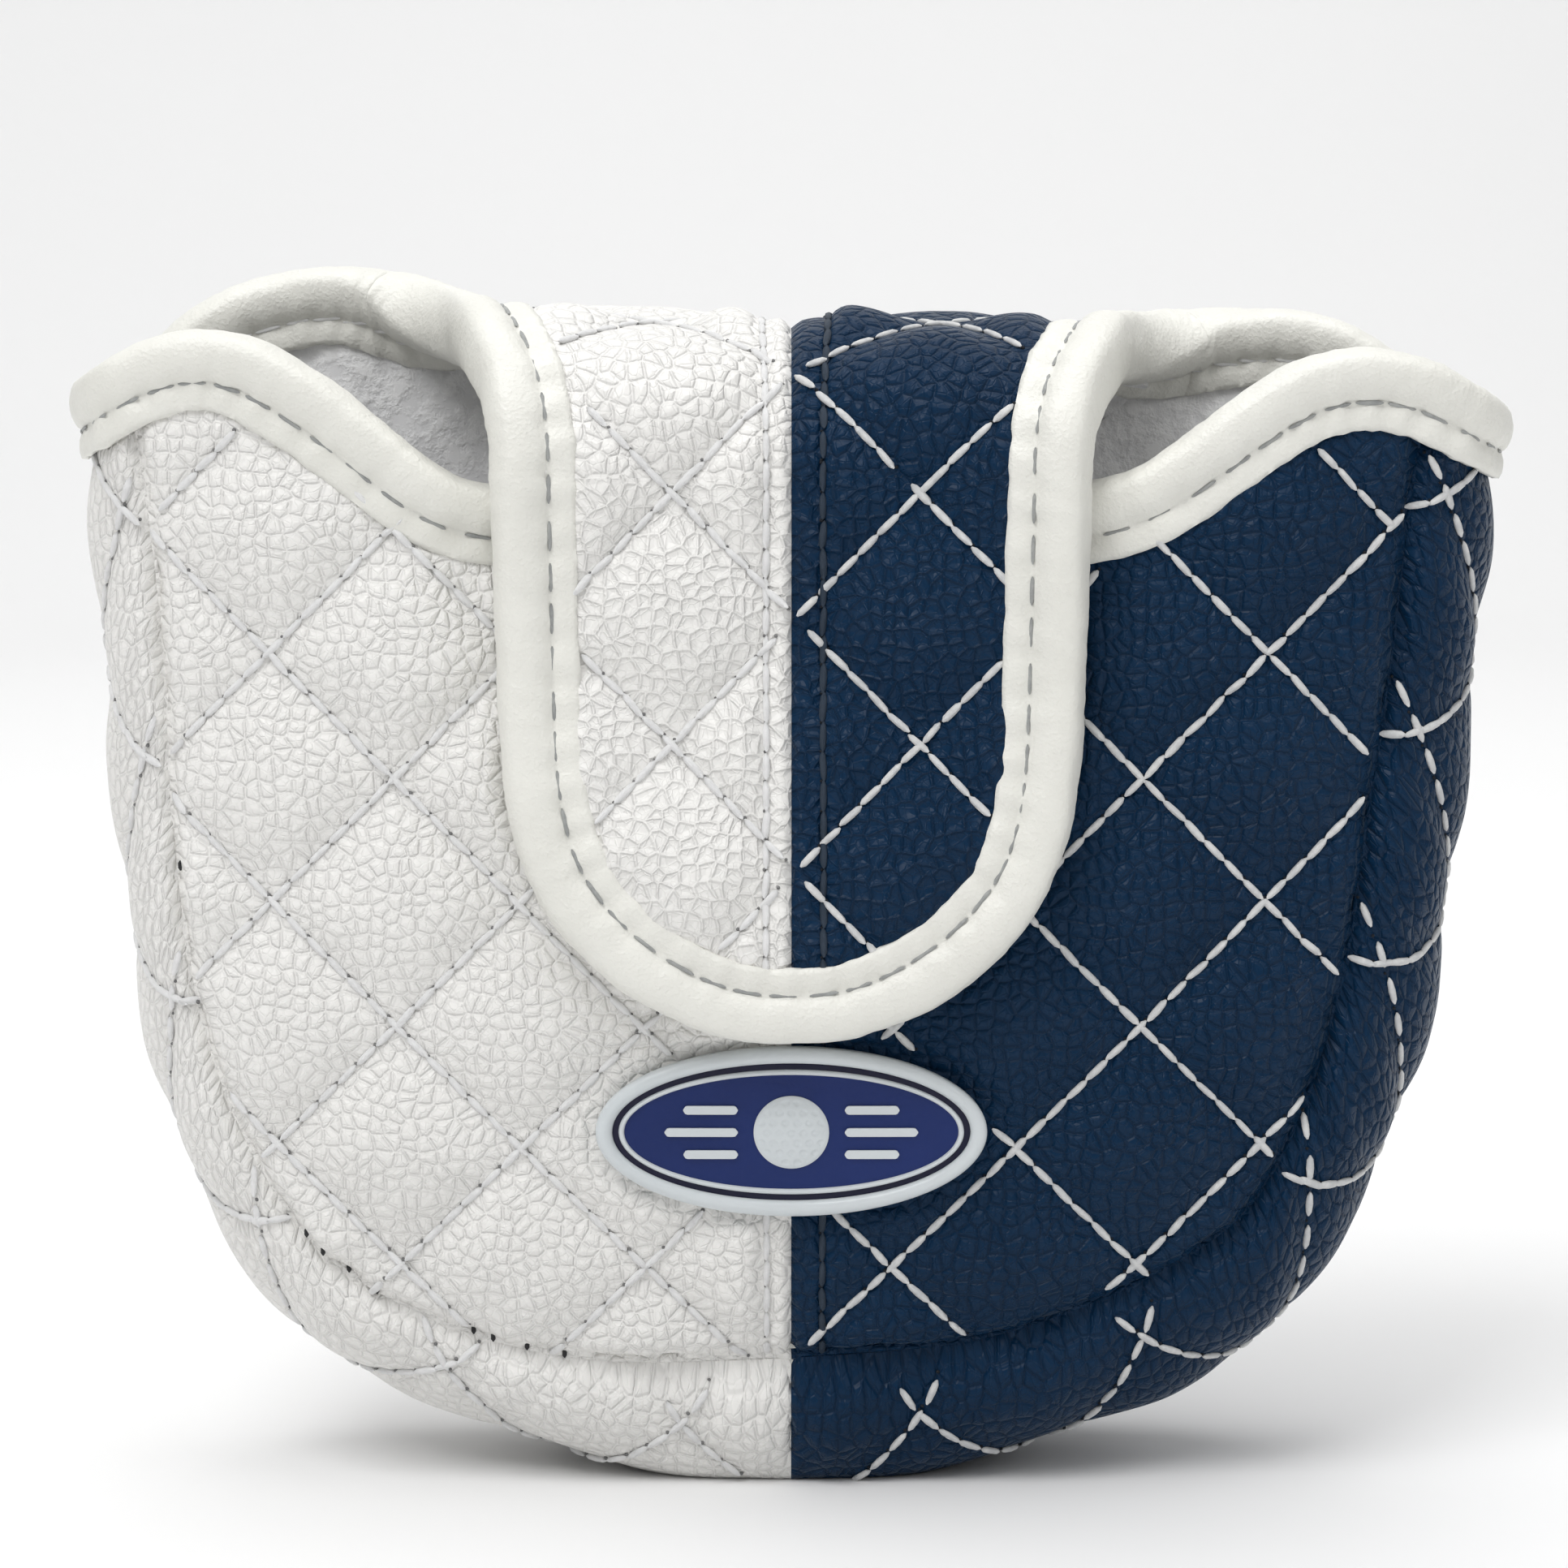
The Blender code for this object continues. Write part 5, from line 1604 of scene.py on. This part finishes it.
# ---------------------------------------------------------------- studio
@dataclass
class Studio:
    """Pale sweep, soft lights and the camera."""

    floor_colour: Colour = (0.87, 0.87, 0.87, 1)
    distance: float = 431.0
    elevation: float = 7.0
    target: tuple[float, float, float] = (-0.7, 0.0, 68.0)
    lens: float = 100.0

    def sweep(self) -> bpy.types.Object:
        """Floor that curves up into a backdrop: straight, a quarter circle, straight."""
        angle = np.linspace(0, math.pi / 2, 24)
        curve = np.stack([900 + 400 * np.sin(angle), 400 - 400 * np.cos(angle)], axis=1)
        line = np.vstack([[(-1500, 0), (0, 0)], curve, [(1300, 2200)]])
        x = np.linspace(-2500, 2500, 20)
        grid = np.stack([np.broadcast_to(x[:, None], (20, len(line))),
                         np.broadcast_to(line[None, :, 0], (20, len(line))),
                         np.broadcast_to(line[None, :, 1], (20, len(line)))], axis=-1)
        obj = make_mesh("studio_sweep", grid.reshape(-1, 3), grid_quads(20, len(line)))
        made, desk, shader = start_material("studio_paper")
        where = desk.add("ShaderNodeTexCoord").outputs["Object"]
        noise = desk.add("ShaderNodeTexNoise", {"Vector": where, "Scale": 3.0}).outputs[0]
        tone = desk.mix(desk.ramp(noise, 0.3, 0.7), self.floor_colour,
                        tuple(0.99 * c for c in self.floor_colour[:3]) + (1.0,))
        desk.tree.links.new(tone, shader.inputs["Base Color"])
        shader.inputs["Roughness"].default_value = 0.9
        shader.inputs["Specular IOR Level"].default_value = 0.1
        obj.data.materials.append(made)
        return obj

    def lamp(self, name: str, place: tuple[float, float, float], size: float, power: float,
             target: tuple[float, float, float] = (0, 0, 0.06)) -> None:
        """A square area light turned towards a target."""
        data = bpy.data.lights.new(name, "AREA")
        data.shape, data.size, data.energy = "SQUARE", size, power
        obj = bpy.data.objects.new(name, data)
        bpy.context.scene.collection.objects.link(obj)
        obj.location = place
        aim = np.array(target) - np.array(place)
        obj.rotation_euler = aim_angles(aim)

    def build(self) -> None:
        """Sweep, world, lamps and camera."""
        scene = bpy.context.scene
        self.sweep()
        world = bpy.data.worlds.new("studio_world")
        world.use_nodes = True
        desk = Desk(world.node_tree)
        way = desk.add("ShaderNodeTexCoord").outputs["Generated"]
        height = desk.add("ShaderNodeSeparateXYZ", {0: way}).outputs["Z"]
        back = world.node_tree.nodes["Background"]
        back.inputs["Color"].default_value = (1.0, 1.0, 1.0, 1)
        strength = desk.ramp(height, 0.1, 0.75, 0.17, 0.55)
        world.node_tree.links.new(strength, back.inputs["Strength"])
        scene.world = world
        self.lamp("key_lamp", (-0.50, -0.75, 1.25), 0.8, 11.5)
        self.lamp("top_lamp", (0.1, 0.10, 1.4), 1.1, 6.8)
        self.lamp("fill_lamp", (0.9, -0.7, 0.9), 1.0, 2.4)
        self.lamp("backdrop_lamp", (0.0, 0.45, 1.3), 0.8, 3.0, (0.0, 1.3, 0.45))
        angle = math.radians(self.elevation)
        away = np.array((0, -math.cos(angle), math.sin(angle))) * self.distance
        place = (np.array(self.target) + away) * MM
        camera = bpy.data.cameras.new("camera")
        camera.lens, camera.sensor_width = self.lens, 36.0
        camera.clip_start = 0.01
        obj = bpy.data.objects.new("camera", camera)
        scene.collection.objects.link(obj)
        obj.location = place
        obj.rotation_euler = aim_angles(np.array(self.target) * MM - place)
        scene.camera = obj
        scene.view_settings.view_transform = "Standard"


def aim_angles(aim: Array) -> tuple[float, float, float]:
    """Euler angles that point a lamp's or camera's -Z along a direction with +Y up."""
    return (math.atan2(math.hypot(aim[0], aim[1]), -aim[2]), 0.0,
            -math.atan2(aim[0], aim[1]))


def seam_marks(pouch: Pouch, wardrobe: Wardrobe, front: Surface) -> bpy.types.Object:
    """Dark construction stitches that show in the left front seam."""
    seam = evenly(pouch.front_seam[-1], 400)
    shares = np.array([0.014, 0.03, 0.35, 0.63, 0.648, 0.672, 0.695, 0.77, 0.786, 0.81, 0.838])
    spots = seam[(shares * 400).astype(int)] * (0.993, 1) + (0, 0.25)
    a, b = spots[:, 0], spots[:, 1]
    places = front.skin(a, b, 0.15)
    axes = np.tile(np.array([(0, 0, 1.0), (1.0, 0, 0), (0, -1.0, 0)]), (len(a), 1, 1))
    obj = scatter("seam_construction_stitches", bead(6, 4), places, axes,
                  np.tile((1.0, 0.5, 0.4), (len(a), 1)))
    wardrobe.dress(obj, Finish.THREAD_BLACK)
    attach(obj, "cover_body")
    return obj


def dress_hidden_nodes(frame: dict, wardrobe: Wardrobe) -> None:
    """Foam and steel on the CAD parts that stay."""
    for name in ("front_padding", "back_padding", "gusset_padding", "flap_padding"):
        wardrobe.dress(frame["nodes"][name], Finish.FOAM)
    for name in ("flap_magnet", "front_magnet"):
        wardrobe.dress(frame["nodes"][name], Finish.STEEL)


def main() -> None:
    """Builds the cover, lights it and logs each piece's face count."""
    logging.basicConfig(level=logging.INFO, format="%(message)s")
    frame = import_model()
    pouch, wardrobe = Pouch(), Wardrobe()
    faces = {"front": FrontFace(pouch), "back": BackFace(pouch), "tongue": Tongue(pouch),
             "gusset": GussetBand(pouch)}
    dress_hidden_nodes(frame, wardrobe)
    pieces = Skins(pouch, wardrobe).build(faces)
    pieces += seam_piping(pouch, wardrobe)
    pieces += Stitcher(pouch, wardrobe).build(faces)
    pieces += BoundEdge(pouch, wardrobe).build(faces)
    pieces += Inside(pouch, wardrobe).build(faces)
    pieces += Badge(pouch, wardrobe).build()
    pieces.append(seam_marks(pouch, wardrobe, faces["front"]))
    Studio().build()
    for piece in pieces:
        log.info("%-32s %7d faces", piece.name, len(piece.data.polygons))


if __name__ == "__main__":
    main()
